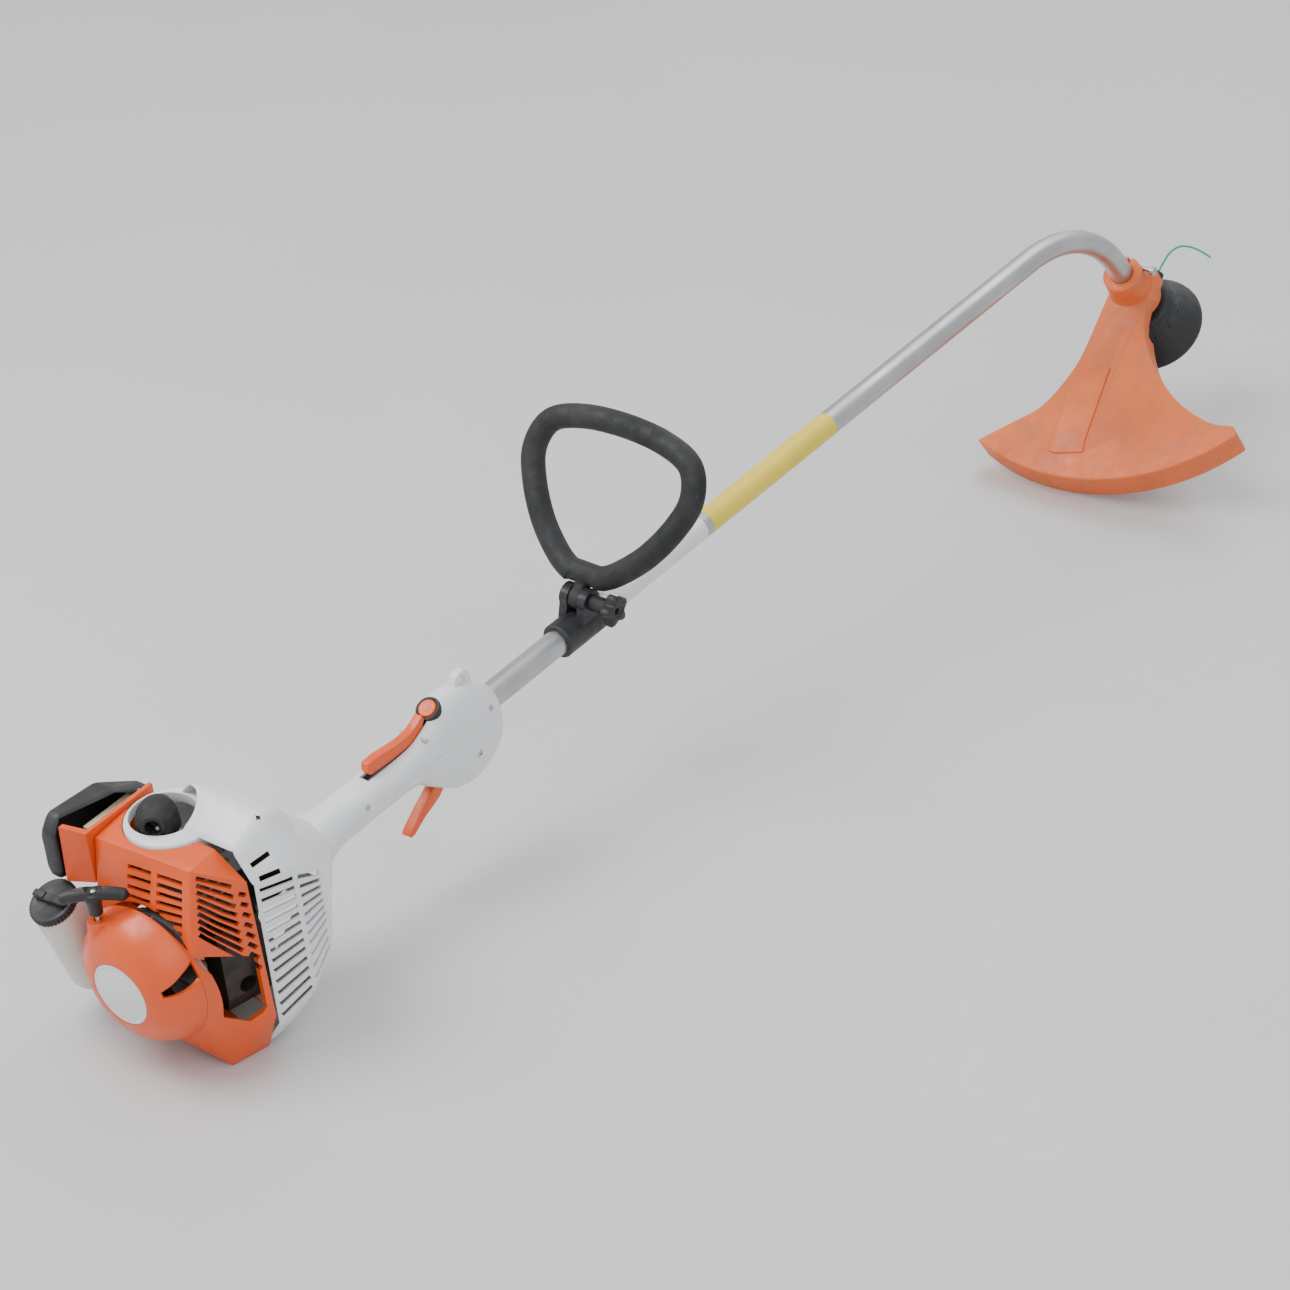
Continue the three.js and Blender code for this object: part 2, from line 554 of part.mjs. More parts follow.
function handle() {
  const shell = hollowLoft(HANDLE, WALL);
  const endWall = cut(
    hull([...section(HANDLE.at(-1)), ...section({ ...HANDLE.at(-1), x: HANDLE_END - 3 })]),
    bar(v(470, 0, 0), v(500, 0, 0), TUBE_R + GAP * 3, TUBE_R + GAP * 3, 12),
  );
  const lug = cut(
    hull([...circle(EYE, Y, 9, 16), v(446, 0, 39), v(468, 0, 33)].flatMap((p) => [
      v(p.x, -4.5, p.z),
      v(p.x, 4.5, p.z),
    ])),
    bar(v(EYE.x, -9, EYE.z), v(EYE.x, 9, EYE.z), 4, 4, 16),
  );
  const whole = cut(
    union(shell, endWall, cut(lug, loft(HANDLE, WALL))),
    bar(at(BUTTON.at, BUTTON.axis, -12), at(BUTTON.at, BUTTON.axis, 12), 12.4, 12.4, 16),
    box([318, -5.6, 10], [402, 5.6, 60]),
    box([366, -6.6, -60], [432, 6.6, -24]),
    bar(v(TRIGGER_PIVOT.x, -40, TRIGGER_PIVOT.z), v(TRIGGER_PIVOT.x, 40, TRIGGER_PIVOT.z), 2.9, 2.9, 12),
    bar(v(LOCKOUT_PIVOT.x, -40, LOCKOUT_PIVOT.z), v(LOCKOUT_PIVOT.x, 40, LOCKOUT_PIVOT.z), 2.4, 2.4, 12),
  );
  const middle = GAP / 2;
  add("handle_upper_shell", whole.intersect(box([200, -60, middle], [520, 60, 90])), LIGHT);
  add("handle_lower_shell", whole.intersect(box([200, -60, -90], [520, 60, -middle])), LIGHT);

  add("switch_collar", ring(BUTTON.at, BUTTON.axis, -9, 2.5, 12, 9.4, 16), BLACK);
  add("stop_button", bar(at(BUTTON.at, BUTTON.axis, -6), at(BUTTON.at, BUTTON.axis, 4), 9, 9, 16), ORANGE);

  const lockout = union(
    hull([v(321, 0, 34), v(322, 0, 21), v(352, 0, 32), v(352, 0, 19)].flatMap(thick(5))),
    hull([v(352, 0, 32), v(352, 0, 19), v(380, 0, 31), v(386, 0, 18)].flatMap(thick(5))),
    hull([v(380, 0, 31), v(384, 0, 21), v(398, 0, 40), v(400, 0, 34)].flatMap(thick(5))),
    bar(v(LOCKOUT_PIVOT.x, -5, LOCKOUT_PIVOT.z), v(LOCKOUT_PIVOT.x, 5, LOCKOUT_PIVOT.z), 6, 6, 16),
  );
  const lockoutBore = bar(v(LOCKOUT_PIVOT.x, -9, LOCKOUT_PIVOT.z), v(LOCKOUT_PIVOT.x, 9, LOCKOUT_PIVOT.z), 2.4, 2.4, 12);
  add("lockout_lever", cut(lockout, lockoutBore), ORANGE);
  add("lockout_pin", bar(v(LOCKOUT_PIVOT.x, -15, LOCKOUT_PIVOT.z), v(LOCKOUT_PIVOT.x, 15, LOCKOUT_PIVOT.z), 2, 2, 12), STEEL);

  const blade = [v(414, 0, -26), v(424, 0, -36), v(404, 0, -56), v(384, 0, -64), v(366, 0, -74), v(358, 0, -74)];
  const trigger = union(
    hull([blade[0], blade[1], blade[2], v(396, 0, -44)].flatMap(thick(6))),
    hull([v(396, 0, -44), blade[2], blade[3], v(380, 0, -54)].flatMap(thick(6))),
    hull([v(380, 0, -54), blade[3], blade[4], blade[5]].flatMap(thick(6))),
    bar(v(TRIGGER_PIVOT.x, -6, TRIGGER_PIVOT.z), v(TRIGGER_PIVOT.x, 6, TRIGGER_PIVOT.z), 7, 7, 16),
  );
  const triggerBore = bar(v(TRIGGER_PIVOT.x, -9, TRIGGER_PIVOT.z), v(TRIGGER_PIVOT.x, 9, TRIGGER_PIVOT.z), 2.9, 2.9, 12);
  add("throttle_trigger", cut(trigger, triggerBore), ORANGE);
  add("trigger_pin", bar(v(TRIGGER_PIVOT.x, -19, TRIGGER_PIVOT.z), v(TRIGGER_PIVOT.x, 19, TRIGGER_PIVOT.z), 2.5, 2.5, 12), STEEL);

  const cable = [v(404, 10, -18), v(384, 13, -9), v(366, 14.7, 0), v(300, 14.7, 0), v(240, 15.5, 2)];
  cable.push(v(205, 26, 14), v(165, 40, 42), v(130, 46, 56), v(111.5, 46, 60));
  const route = new THREE.CatmullRomCurve3(cable).getPoints(16);
  add("throttle_cable", tube(route, 1.4, 0, 6), BLACK);
}

// Points thickened sideways by a half width, for flat levers.
function thick(half) {
  return (p) => [v(p.x, -half, p.z), v(p.x, half, p.z)];
}

// ---- Loop handle and its clamp ----
function loopHandle() {
  const up = v(Math.sin(rad(LOOP_TILT)), 0, Math.cos(rad(LOOP_TILT)));
  const foot = v(BOLT.x, 0, BOLT.z);
  const onLoop = (side, rise) => at(at(foot, up, rise), Y, side);
  const right = [onLoop(13, 21), onLoop(34, 32), onLoop(62, 58), onLoop(84, 92), onLoop(93, 122)];
  right.push(onLoop(82, 150), onLoop(48, 163), onLoop(0, 167));
  const mirrored = right.slice(0, -1).reverse();
  const left = mirrored.map((p) => v(p.x, -p.y, p.z));
  const path = new THREE.CatmullRomCurve3([...right, ...left]).getPoints(24);
  const yoke = hull([...circle(at(foot, up, 22), up, 12, 12), ...circle(at(foot, up, 12), up, 6, 12)]);
  const lug = bar(v(BOLT.x, -5.6, BOLT.z), v(BOLT.x, 5.6, BOLT.z), 11.5, 11.5, 20);
  const stub = turnedBox(at(foot, up, 10), [14, 11.2, 14], new THREE.Quaternion().setFromUnitVectors(Z, up));
  const bore = bar(v(BOLT.x, -9, BOLT.z), v(BOLT.x, 9, BOLT.z), 3.4, 3.4, 12);
  const bridge = bar(onLoop(-16, 24), onLoop(16, 24), 11, 11, 14);
  const earRoom = bar(v(BOLT.x, -40, BOLT.z), v(BOLT.x, 40, BOLT.z), 13, 13, 16);
  const grip = cut(union(tube(path, LOOP_R, 0, 10), bridge, yoke), earRoom);
  add("loop_handle", cut(union(grip, lug, stub), bore), RUBBER);

  for (const [name, side] of [["clamp_left_half", 1], ["clamp_right_half", -1]]) {
    const near = GAP / 2;
    const saddle = bar(v(592, 0, 0), v(652, 0, 0), 17.5, 17.5, 16);
    const lugDisc = bar(v(BOLT.x, 6 * side, BOLT.z), v(BOLT.x, 15 * side, BOLT.z), 12, 12, 20);
    const web = hull([v(614, 6, 10), v(646, 6, 10), v(620, 6, 30), v(640, 6, 30)].flatMap((p) => [
      v(p.x, 6 * side, p.z),
      v(p.x, 15 * side, p.z),
    ]));
    const half = side > 0 ? box([580, near, -30], [670, 40, 60]) : box([580, -40, -30], [670, -near, 60]);
    const holes = [
      bar(v(580, 0, 0), v(670, 0, 0), TUBE_R + GAP * 3, TUBE_R + GAP * 3, 12),
      bar(v(BOLT.x, -40, BOLT.z), v(BOLT.x, 40, BOLT.z), 3.4, 3.4, 12),
      box([BOLT.x - 16, -5.9, BOLT.z - 12], [BOLT.x + 16, 5.9, 60]),
    ];
    add(name, cut(union(saddle, lugDisc, web).intersect(half), ...holes), BLACK);
  }
  const shank = bar(v(BOLT.x, -43, BOLT.z), v(BOLT.x, 16, BOLT.z), 3, 3, 12);
  add("clamp_bolt", union(shank, bar(v(BOLT.x, 15.4, BOLT.z), v(BOLT.x, 19.5, BOLT.z), 6, 6, 6)), STEEL);
  const lobes = Array.from({ length: 5 }, (_, i) => {
    const a = (i / 5) * 2 * Math.PI + 0.3;
    const tip = v(BOLT.x + 11.8 * Math.cos(a), 0, BOLT.z + 11.8 * Math.sin(a));
    return bar(v(tip.x, -36, tip.z), v(tip.x, -47, tip.z), 4.5, 4.5, 10);
  });
  const hub = bar(v(BOLT.x, -15.6, BOLT.z), v(BOLT.x, -47, BOLT.z), 8, 9, 16);
  const knobBore = bar(v(BOLT.x, -10, BOLT.z), v(BOLT.x, -50, BOLT.z), 3.3, 3.3, 12);
  add("clamp_knob", cut(union(hub, ...lobes), knobBore), BLACK);
}

// ---- Deflector ----
// Its outline, seen along the cutting axis, as [back, left] pairs; the rim is an arc about that axis.
const RIM_LEFT = 20; // degrees from straight back
const RIM_RIGHT = -57;
const NECK_LEFT = [[-26, 20], [20, 20], [85, 15], [120, 17], [165, 30], [196, 56]];
const NECK_RIGHT = [[122, -192], [126, -165], [116, -125], [96, -90], [70, -60], [30, -34], [-26, -24]];

function deflector() {
  const arc = (r) =>
    Array.from({ length: 11 }, (_, i) => {
      const a = rad(RIM_LEFT + ((RIM_RIGHT - RIM_LEFT) * i) / 10);
      return [r * Math.cos(a), r * Math.sin(a)];
    });
  const plate = (r, inset) => {
    const left = NECK_LEFT.map(([b, l]) => [b, l - inset]);
    const right = NECK_RIGHT.map(([b, l]) => [b, l + inset * 1.2]);
    return new THREE.Shape([...left, ...arc(r), ...right].map(([b, l]) => new THREE.Vector2(b, l)));
  };
  const slab = (shape, from, to) => {
    const g = new THREE.ExtrudeGeometry(shape, { depth: to - from, bevelEnabled: false });
    const basis = new THREE.Matrix4().makeBasis(BACK, Y.clone(), OUT.clone());
    const origin = headPoint(from, 0);
    g.applyMatrix4(basis.setPosition(origin));
    return solid(g);
  };
  const outer = slab(plate(SHIELD_R, 0), 8, 46);
  const inner = slab(plate(SHIELD_R - WALL, WALL), 8 + WALL, 60);
  const relief = bar(headPoint(8 + WALL + 16, 0), headPoint(60, 0), 60, 60, 16);
  const shell = cut(outer, inner, relief);
  const socket = bar(headPoint(-22, 0), headPoint(34, 0), 22, 28, 16);
  const tubeBore = bar(headPoint(-40, 0), headPoint(4, 0), TUBE_R + GAP * 3, TUBE_R + GAP * 3, 12);
  const bearingBore = bar(headPoint(3, 0), headPoint(40, 0), 14, 14, 20);
  const screwBore = bar(headPoint(-12, -17, -40), headPoint(-12, -17, 40), 2.8, 2.8, 12);
  const slit = turnedBox(
    headPoint(-12, -26),
    [20, 5, 24],
    new THREE.Quaternion().setFromUnitVectors(X, BACK.clone().negate()),
  );
  add("deflector", cut(union(shell, socket), tubeBore, bearingBore, screwBore, slit), ORANGE);
  add("deflector_screw", union(
    bar(headPoint(-12, -17, -26), headPoint(-12, -17, 22), 2.4, 2.4, 12),
    bar(headPoint(-12, -17, -30), headPoint(-12, -17, -25.4), 5, 5, 12),
  ), STEEL);
  const bladeTurn = new THREE.Quaternion().setFromRotationMatrix(new THREE.Matrix4().makeBasis(BACK, Y, OUT));
  const knifeAngle = rad(-50);
  const knifeAt = headPoint(38, (SHIELD_R - 8) * Math.cos(knifeAngle), (SHIELD_R - 8) * Math.sin(knifeAngle));
  bladeTurn.multiply(new THREE.Quaternion().setFromAxisAngle(Z, knifeAngle));
  add("line_cutter", turnedBox(knifeAt, [9, 26, 14], bladeTurn), STEEL);
}

// ---- Cutting head ----
function cuttingHead() {
  add("head_bush", ring(headPoint(0, 0), OUT, 10, 32, 13.6, 8.4, 16), STEEL);
  add("head_spindle", union(
    bar(headPoint(-TAIL + 4, 0), headPoint(11, 0), 3, 3, 8),
    bar(headPoint(10, 0), headPoint(62, 0), 8, 8, 16),
  ), STEEL);
  const body = turned(headPoint(0, 0), OUT, [
    [40, 0],
    [40, 34],
    [43, 38],
    [64, 40],
    [72, 44],
    [82, 52],
    [92, HEAD_R],
    [96, HEAD_R],
    [96, 0],
  ], 20);
  const spoolRoom = bar(headPoint(52, 0), headPoint(110, 0), 34, 34, 16);
  const boreCut = bar(headPoint(30, 0), headPoint(60, 0), 8.3, 8.3, 16);
  const dishRoom = turned(headPoint(0, 0), OUT, [
    [74, 0],
    [74, 34],
    [96.5, 54],
    [97, 54],
    [97, 0],
  ], 20);
  const eyelet = hull([...circle(headPoint(50, -44), BACK, 7, 12), ...circle(headPoint(50, -34), BACK, 9, 12)]);
  const lineBore = bar(headPoint(50, -20), headPoint(50, -60), 2, 2, 10);
  add("head_housing", cut(union(body, eyelet), spoolRoom, boreCut, dishRoom, lineBore), BLACK);
  const spool = turned(headPoint(0, 0), OUT, [
    [57.5, 0],
    [57.5, 32],
    [59.5, 32],
    [59.5, 20],
    [70, 20],
    [70, 32],
    [73, 32],
    [73, 0],
  ]);
  add("line_spool", cut(spool, bar(headPoint(40, 0), headPoint(66, 0), 8.3, 8.3, 16)), BLACK);
  add("wound_line", ring(headPoint(0, 0), OUT, 59.9, 69.6, 29, 20.6, 16), NYLON);
  add("spool_cap", turned(headPoint(0, 0), OUT, [
    [73.5, 0],
    [73.5, 30],
    [84, 30],
    [94, 24],
    [101, 14],
    [101, 0],
  ]), BLACK);
  const strand = [[50, -40, 0], [50, -58, 0], [50, -72, -2], [51, -82, -9], [54, -86, -20], [58, -86, -32], [62, -84, -44]];
  const curve = new THREE.CatmullRomCurve3(strand.map(([out, back, left]) => headPoint(out, back, left)));
  add("cutting_line", tube(curve.getPoints(16), 1.2, 0, 8), NYLON);
}

starter();
engineCover();
shroud();
engine();
clutch();
drive();
breathing();
fuel();
handle();
loopHandle();
deflector();
cuttingHead();

// ---- On the floor, with the middle of its footprint at the origin ----
const onFloor = new THREE.Group();
machine.rotation.y = -rad(TUBE_RISE);
machine.position.z = AXIS_HEIGHT;
onFloor.add(machine);
onFloor.updateMatrixWorld(true);
const bounds = new THREE.Box3().setFromObject(onFloor, true);
const middle = bounds.getCenter(new THREE.Vector3());
machine.position.set(-middle.x, -middle.y, AXIS_HEIGHT);

export default onFloor;
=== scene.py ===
# Looks of the curved-shaft brush cutter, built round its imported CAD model.
#
# Shapes are written in the machine's own frame, in millimetres, as in the CAD source: x along the
# straight tube from the badge, y to the operator's left, z up and square to the tube. place() turns
# them into the row's frame, in metres.

import json
import math

import bmesh
import bpy
from mathutils import Matrix, Quaternion, Vector


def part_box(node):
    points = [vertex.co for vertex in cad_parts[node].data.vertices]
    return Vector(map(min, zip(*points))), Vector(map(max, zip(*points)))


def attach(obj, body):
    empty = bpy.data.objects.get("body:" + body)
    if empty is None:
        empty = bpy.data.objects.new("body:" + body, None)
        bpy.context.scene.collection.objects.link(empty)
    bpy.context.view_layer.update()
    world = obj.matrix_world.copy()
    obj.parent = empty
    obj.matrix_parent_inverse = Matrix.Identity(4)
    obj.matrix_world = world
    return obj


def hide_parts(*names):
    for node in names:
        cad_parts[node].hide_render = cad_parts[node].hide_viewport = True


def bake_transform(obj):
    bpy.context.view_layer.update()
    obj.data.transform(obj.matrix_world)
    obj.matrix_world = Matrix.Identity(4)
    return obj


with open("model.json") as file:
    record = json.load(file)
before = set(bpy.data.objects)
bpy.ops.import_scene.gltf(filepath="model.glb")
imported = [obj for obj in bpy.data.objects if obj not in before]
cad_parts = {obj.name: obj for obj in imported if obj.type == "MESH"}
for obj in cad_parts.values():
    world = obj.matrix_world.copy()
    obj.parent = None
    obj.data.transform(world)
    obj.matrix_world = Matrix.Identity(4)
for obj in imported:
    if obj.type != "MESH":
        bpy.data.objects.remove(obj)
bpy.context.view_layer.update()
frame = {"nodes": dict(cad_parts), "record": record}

# ---- Driving sizes (mm, degrees), the same as the CAD's ----
RISE = math.radians(8.3)
TUBE_R = 12.7
BEND_START = 1396
BEND_R = 210
BEND = math.radians(57.7)
TAIL = 33
WALL = 2.6
SEAM_X = 98
BOLT = Vector((630, 0, 28))
SHIELD_R = 240
X, Y, Z = Vector((1, 0, 0)), Vector((0, 1, 0)), Vector((0, 0, 1))

low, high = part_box("badge_plate")
BADGE = (Vector(low) + Vector(high)) / 2
TURN = Matrix.Rotation(-RISE, 3, "Y")
FLOOR_DROP = BADGE.z * 1000


def place(p):
    """A point in the machine's frame (mm) as a point in the row's frame (m)."""
    return TURN @ (Vector(p) / 1000) + BADGE


def floor_z(x):
    """Height of the floor in the machine's frame, at a place along the tube."""
    return -(FLOOR_DROP + x * math.sin(RISE)) / math.cos(RISE)


OUT = Vector((math.cos(BEND), 0, -math.sin(BEND)))
BACK = Vector((-math.sin(BEND), 0, -math.cos(BEND)))


def on_bend(angle):
    return Vector((BEND_START + BEND_R * math.sin(angle), 0, -BEND_R * (1 - math.cos(angle))))


TUBE_END = on_bend(BEND) + OUT * TAIL


def head_point(out, back, left=0):
    """A place at the cutting end: along its axis, back to the operator, and to the left."""
    return TUBE_END + OUT * out + BACK * back + Y * left


# ---- Camera and the cutting line come first ----
def add_camera():
    camera = bpy.data.objects.new("camera", bpy.data.cameras.new("camera"))
    bpy.context.scene.collection.objects.link(camera)
    camera.data.lens = 110
    camera.data.sensor_width = 36
    camera.data.clip_end = 50
    view, up = Vector((0.6938, 0.5381, -0.4787)), Vector((0.3783, 0.2934, 0.8780))
    right = view.cross(up).normalized()
    camera.matrix_world = Matrix((right, up, -view)).transposed().to_4x4()
    camera.location = BADGE + Vector((-1.9177, -2.0455, 1.8446))
    bpy.context.scene.camera = camera


add_camera()


# ---- Materials ----
class Nodes:
    """A short way to write a node tree."""

    def __init__(self, name):
        self.material = bpy.data.materials.new(name)
        self.material.use_nodes = True
        self.tree = self.material.node_tree
        self.shader = self.tree.nodes["Principled BSDF"]
        self.where = self.tree.nodes.new("ShaderNodeTexCoord").outputs["Object"]

    def node(self, kind, **values):
        made = self.tree.nodes.new("ShaderNode" + kind)
        for key, value in values.items():
            setattr(made, key, value)
        return made

    def link(self, a, b):
        self.tree.links.new(a, b)

    def noise(self, scale, detail=4, stretch=None):
        made = self.node("TexNoise")
        made.inputs["Scale"].default_value = scale
        made.inputs["Detail"].default_value = detail
        source = self.where
        if stretch:
            mapping = self.node("Mapping")
            mapping.inputs["Scale"].default_value = stretch
            self.link(source, mapping.inputs["Vector"])
            source = mapping.outputs["Vector"]
        self.link(source, made.inputs["Vector"])
        return made.outputs["Fac"]

    def ramp(self, source, low, high, low_value=0.0, high_value=1.0):
        made = self.node("MapRange")
        made.inputs["From Min"].default_value = low
        made.inputs["From Max"].default_value = high
        made.inputs["To Min"].default_value = low_value
        made.inputs["To Max"].default_value = high_value
        self.link(source, made.inputs["Value"])
        return made.outputs["Result"]

    def times(self, a, b):
        made = self.node("Math", operation="MULTIPLY")
        self.link(a, made.inputs[0])
        if isinstance(b, (int, float)):
            made.inputs[1].default_value = b
        else:
            self.link(b, made.inputs[1])
        return made.outputs[0]

    def mix(self, amount, a, b):
        made = self.node("Mix", data_type="RGBA")
        self.link(amount, made.inputs["Factor"])
        for socket, value in ((made.inputs[6], a), (made.inputs[7], b)):
            if isinstance(value, tuple):
                socket.default_value = (*value, 1)
            else:
                self.link(value, socket)
        return made.outputs[2]

    def bump(self, height, strength, distance=0.0004, onto=None):
        made = self.node("Bump")
        made.inputs["Strength"].default_value = strength
        made.inputs["Distance"].default_value = distance
        self.link(height, made.inputs["Height"])
        if onto:
            self.link(onto, made.inputs["Normal"])
        return made.outputs["Normal"]


# Dark brown colour for real grime, also used as painted shade in concave hollows.
GRIME_AND_SHADE = (0.16, 0.13, 0.09)


def surface(name, colour, rough, metal=0.0, grain=1400, grain_bump=0.12, grime_and_shade=0.15, mottle=0.12, coat=0.0,
            brushed=None, grime_and_shade_colour=GRIME_AND_SHADE, clear=0.0):
    """A worn moulded or metal surface: mottled colour, grime in patches and specks, painted shade in its
    hollows, scuffs, and fine grain.
    """
    n = Nodes(name)
    dark = tuple(c * (1 - mottle) for c in colour)
    pale = tuple(min(1.0, c * (1 + mottle * 0.6) + mottle * 0.02) for c in colour)
    base = n.mix(n.ramp(n.noise(14, 5), 0.35, 0.65), dark, pale)
    patches = n.ramp(n.noise(30, 8), 0.55, 0.78)
    specks = n.ramp(n.noise(420, 6), 0.62, 0.70)
    # Painted shade: concave hollows (low pointiness) are darkened toward the grime colour, more on grimier
    # surfaces.
    edge = n.node("NewGeometry").outputs["Pointiness"]
    hollow_shade = n.ramp(edge, 0.495, 0.44, 0.0, 0.55)
    grime = n.node("Math", operation="MAXIMUM")
    n.link(n.times(patches, 0.55 * grime_and_shade), grime.inputs[0])
    n.link(n.times(specks, 0.9 * grime_and_shade), grime.inputs[1])
    grime_and_hollow_shade = n.node("Math", operation="MAXIMUM")
    n.link(grime.outputs[0], grime_and_hollow_shade.inputs[0])
    n.link(n.times(hollow_shade, min(1.0, grime_and_shade * 2.2)), grime_and_hollow_shade.inputs[1])
    # The grime colour goes over real grime patches and specks, and over the painted shade in hollows.
    n.link(n.mix(grime_and_hollow_shade.outputs[0], base, grime_and_shade_colour), n.shader.inputs["Base Color"])
    scuff = n.noise(90, 10, brushed or (1, 1, 1))
    n.link(n.ramp(scuff, 0.3, 0.72, max(0.05, rough - 0.08), min(1.0, rough + 0.16)),
           n.shader.inputs["Roughness"])
    n.shader.inputs["Metallic"].default_value = metal
    n.shader.inputs["Coat Weight"].default_value = coat
    n.shader.inputs["Coat Roughness"].default_value = 0.15
    n.shader.inputs["Transmission Weight"].default_value = clear
    fine = n.bump(n.noise(grain, 3, brushed), grain_bump, 0.0002)
    n.link(n.bump(n.noise(60, 6), 0.05, 0.0008, fine), n.shader.inputs["Normal"])
    return n.material


ORANGE = surface("orange_plastic", (0.76, 0.085, 0.006), 0.34, grime_and_shade=0.10, mottle=0.05, coat=0.12,
                 grain=2200, grain_bump=0.05)
SHIELD_ORANGE = surface("deflector_plastic", (0.74, 0.14, 0.025), 0.48, grime_and_shade=0.75, mottle=0.14, grain=900,
                        grain_bump=0.2)
LIGHT = surface("light_plastic", (0.74, 0.755, 0.765), 0.32, grime_and_shade=0.12, mottle=0.03, coat=0.15,
                grain=2000, grain_bump=0.05)
BADGE_FACE = surface("badge_face", (0.70, 0.72, 0.72), 0.28, grime_and_shade=0.06, mottle=0.03, coat=0.5, grain=1600,
                     grain_bump=0.03)
BLACK = surface("black_plastic", (0.011, 0.012, 0.014), 0.48, grime_and_shade=0.10, mottle=0.25, grain=1800,
                grain_bump=0.16,
                grime_and_shade_colour=(0.20, 0.18, 0.15))
RUBBER = surface("soft_rubber", (0.010, 0.011, 0.012), 0.66, grime_and_shade=0.14, mottle=0.3, grain=1500,
                 grain_bump=0.22,
                 grime_and_shade_colour=(0.20, 0.18, 0.15))
STEEL = surface("plated_steel", (0.50, 0.50, 0.51), 0.34, 1.0, grime_and_shade=0.25, mottle=0.15, grain=1400,
                grain_bump=0.1)
DARK_STEEL = surface("hot_steel", (0.085, 0.075, 0.068), 0.6, 1.0, grime_and_shade=0.3, mottle=0.35, grain=700,
                     grain_bump=0.3)
CAST = surface("cast_alloy", (0.42, 0.43, 0.44), 0.55, 1.0, grime_and_shade=0.35, mottle=0.2, grain=650,
               grain_bump=0.5)
ALLOY = surface("machined_alloy", (0.70, 0.71, 0.72), 0.3, 1.0, grime_and_shade=0.1, mottle=0.1, brushed=(1, 30, 30))
TUBE = surface("drawn_tube", (0.50, 0.505, 0.51), 0.36, 1.0, grime_and_shade=0.16, mottle=0.12, grain=500,
               grain_bump=0.1,
               brushed=(0.06, 1, 1), grime_and_shade_colour=(0.26, 0.22, 0.18))
TANK = surface("milky_tank", (0.66, 0.655, 0.60), 0.33, grime_and_shade=0.10, mottle=0.06, grain=1200,
               grain_bump=0.06,
               grime_and_shade_colour=(0.42, 0.38, 0.28))
TANK.node_tree.nodes["Principled BSDF"].inputs["Subsurface Weight"].default_value = 0.35
TANK.node_tree.nodes["Principled BSDF"].inputs["Subsurface Scale"].default_value = 0.01
FELT = surface("felt", (0.60, 0.52, 0.36), 0.95, grime_and_shade=0.3, mottle=0.2, grain=2600, grain_bump=0.9)
ROPE = surface("braided_rope", (0.66, 0.65, 0.61), 0.9, grime_and_shade=0.3, mottle=0.15, grain=2400, grain_bump=0.9,
               brushed=(1, 1, 0.35))
NYLON = surface("line_nylon", (0.03, 0.42, 0.30), 0.25, grime_and_shade=0.05, mottle=0.15, grain=1600,
                grain_bump=0.05, clear=0.3)
WHITE_LABEL = surface("blank_white_label", (0.78, 0.78, 0.76), 0.42, grime_and_shade=0.2, mottle=0.05, grain=1200,
                      grain_bump=0.04)
YELLOW_LABEL = surface("blank_yellow_label", (0.80, 0.60, 0.05), 0.42, grime_and_shade=0.25, mottle=0.07, grain=1200,
                       grain_bump=0.04)

SLOT_FINISH = {
    "orange": ORANGE, "light_plastic": LIGHT, "light_panel": BADGE_FACE, "black_plastic": BLACK,
    "rubber": RUBBER, "steel": STEEL, "dark_steel": DARK_STEEL, "aluminium": ALLOY,
    "tube_aluminium": TUBE, "cast_metal": CAST, "tank_plastic": TANK, "felt": FELT, "rope": ROPE,
    "nylon": NYLON,
}


def paint_cad_nodes():
    slots = {entry["node"]: entry["material_slot"] for entry in frame["record"]["subparts"]}
    for name, obj in frame["nodes"].items():
        obj.data.materials.clear()
        obj.data.materials.append(SLOT_FINISH[slots[name]])


paint_cad_nodes()


# ---- Shapes. Each returns an object whose mesh is in the machine's frame, in mm ----
def from_bmesh(bm, name="shape"):
    mesh = bpy.data.meshes.new(name)
    bmesh.ops.recalc_face_normals(bm, faces=bm.faces)
    bm.to_mesh(mesh)
    bm.free()
    obj = bpy.data.objects.new(name, mesh)
    bpy.context.scene.collection.objects.link(obj)
    return obj


def from_faces(verts, faces):
    bm = bmesh.new()
    made = [bm.verts.new(v) for v in verts]
    for face in faces:
        bm.faces.new([made[i] for i in face])
    return from_bmesh(bm)


def hull(points):
    bm = bmesh.new()
    for p in points:
        bm.verts.new(p)
    result = bmesh.ops.convex_hull(bm, input=bm.verts)
    loose = {v for v in result["geom_interior"] + result["geom_unused"] if isinstance(v, bmesh.types.BMVert)}
    bmesh.ops.delete(bm, geom=list(loose), context="VERTS")
    bmesh.ops.dissolve_limit(bm, angle_limit=0.01, verts=bm.verts, edges=bm.edges)
    return from_bmesh(bm)


def circle(centre, axis, r, count=32):
    turn = Z.rotation_difference(Vector(axis).normalized())
    angles = [2 * math.pi * i / count for i in range(count)]
    return [turn @ Vector((r * math.cos(a), r * math.sin(a), 0)) + Vector(centre) for a in angles]


def rings(loops, close_ends=True):
    """A skin through loops of equal numbers of points, with flat ends."""
    count = len(loops[0])
    verts = [p for loop in loops for p in loop]
    faces = []
    for i in range(len(loops) - 1):
        for j in range(count):
            a, b = i * count + j, i * count + (j + 1) % count
            faces.append((a, b, b + count, a + count))
    if close_ends:
        faces.append(tuple(range(count)))
        faces.append(tuple(range(len(verts) - count, len(verts))))
    return from_faces(verts, faces)


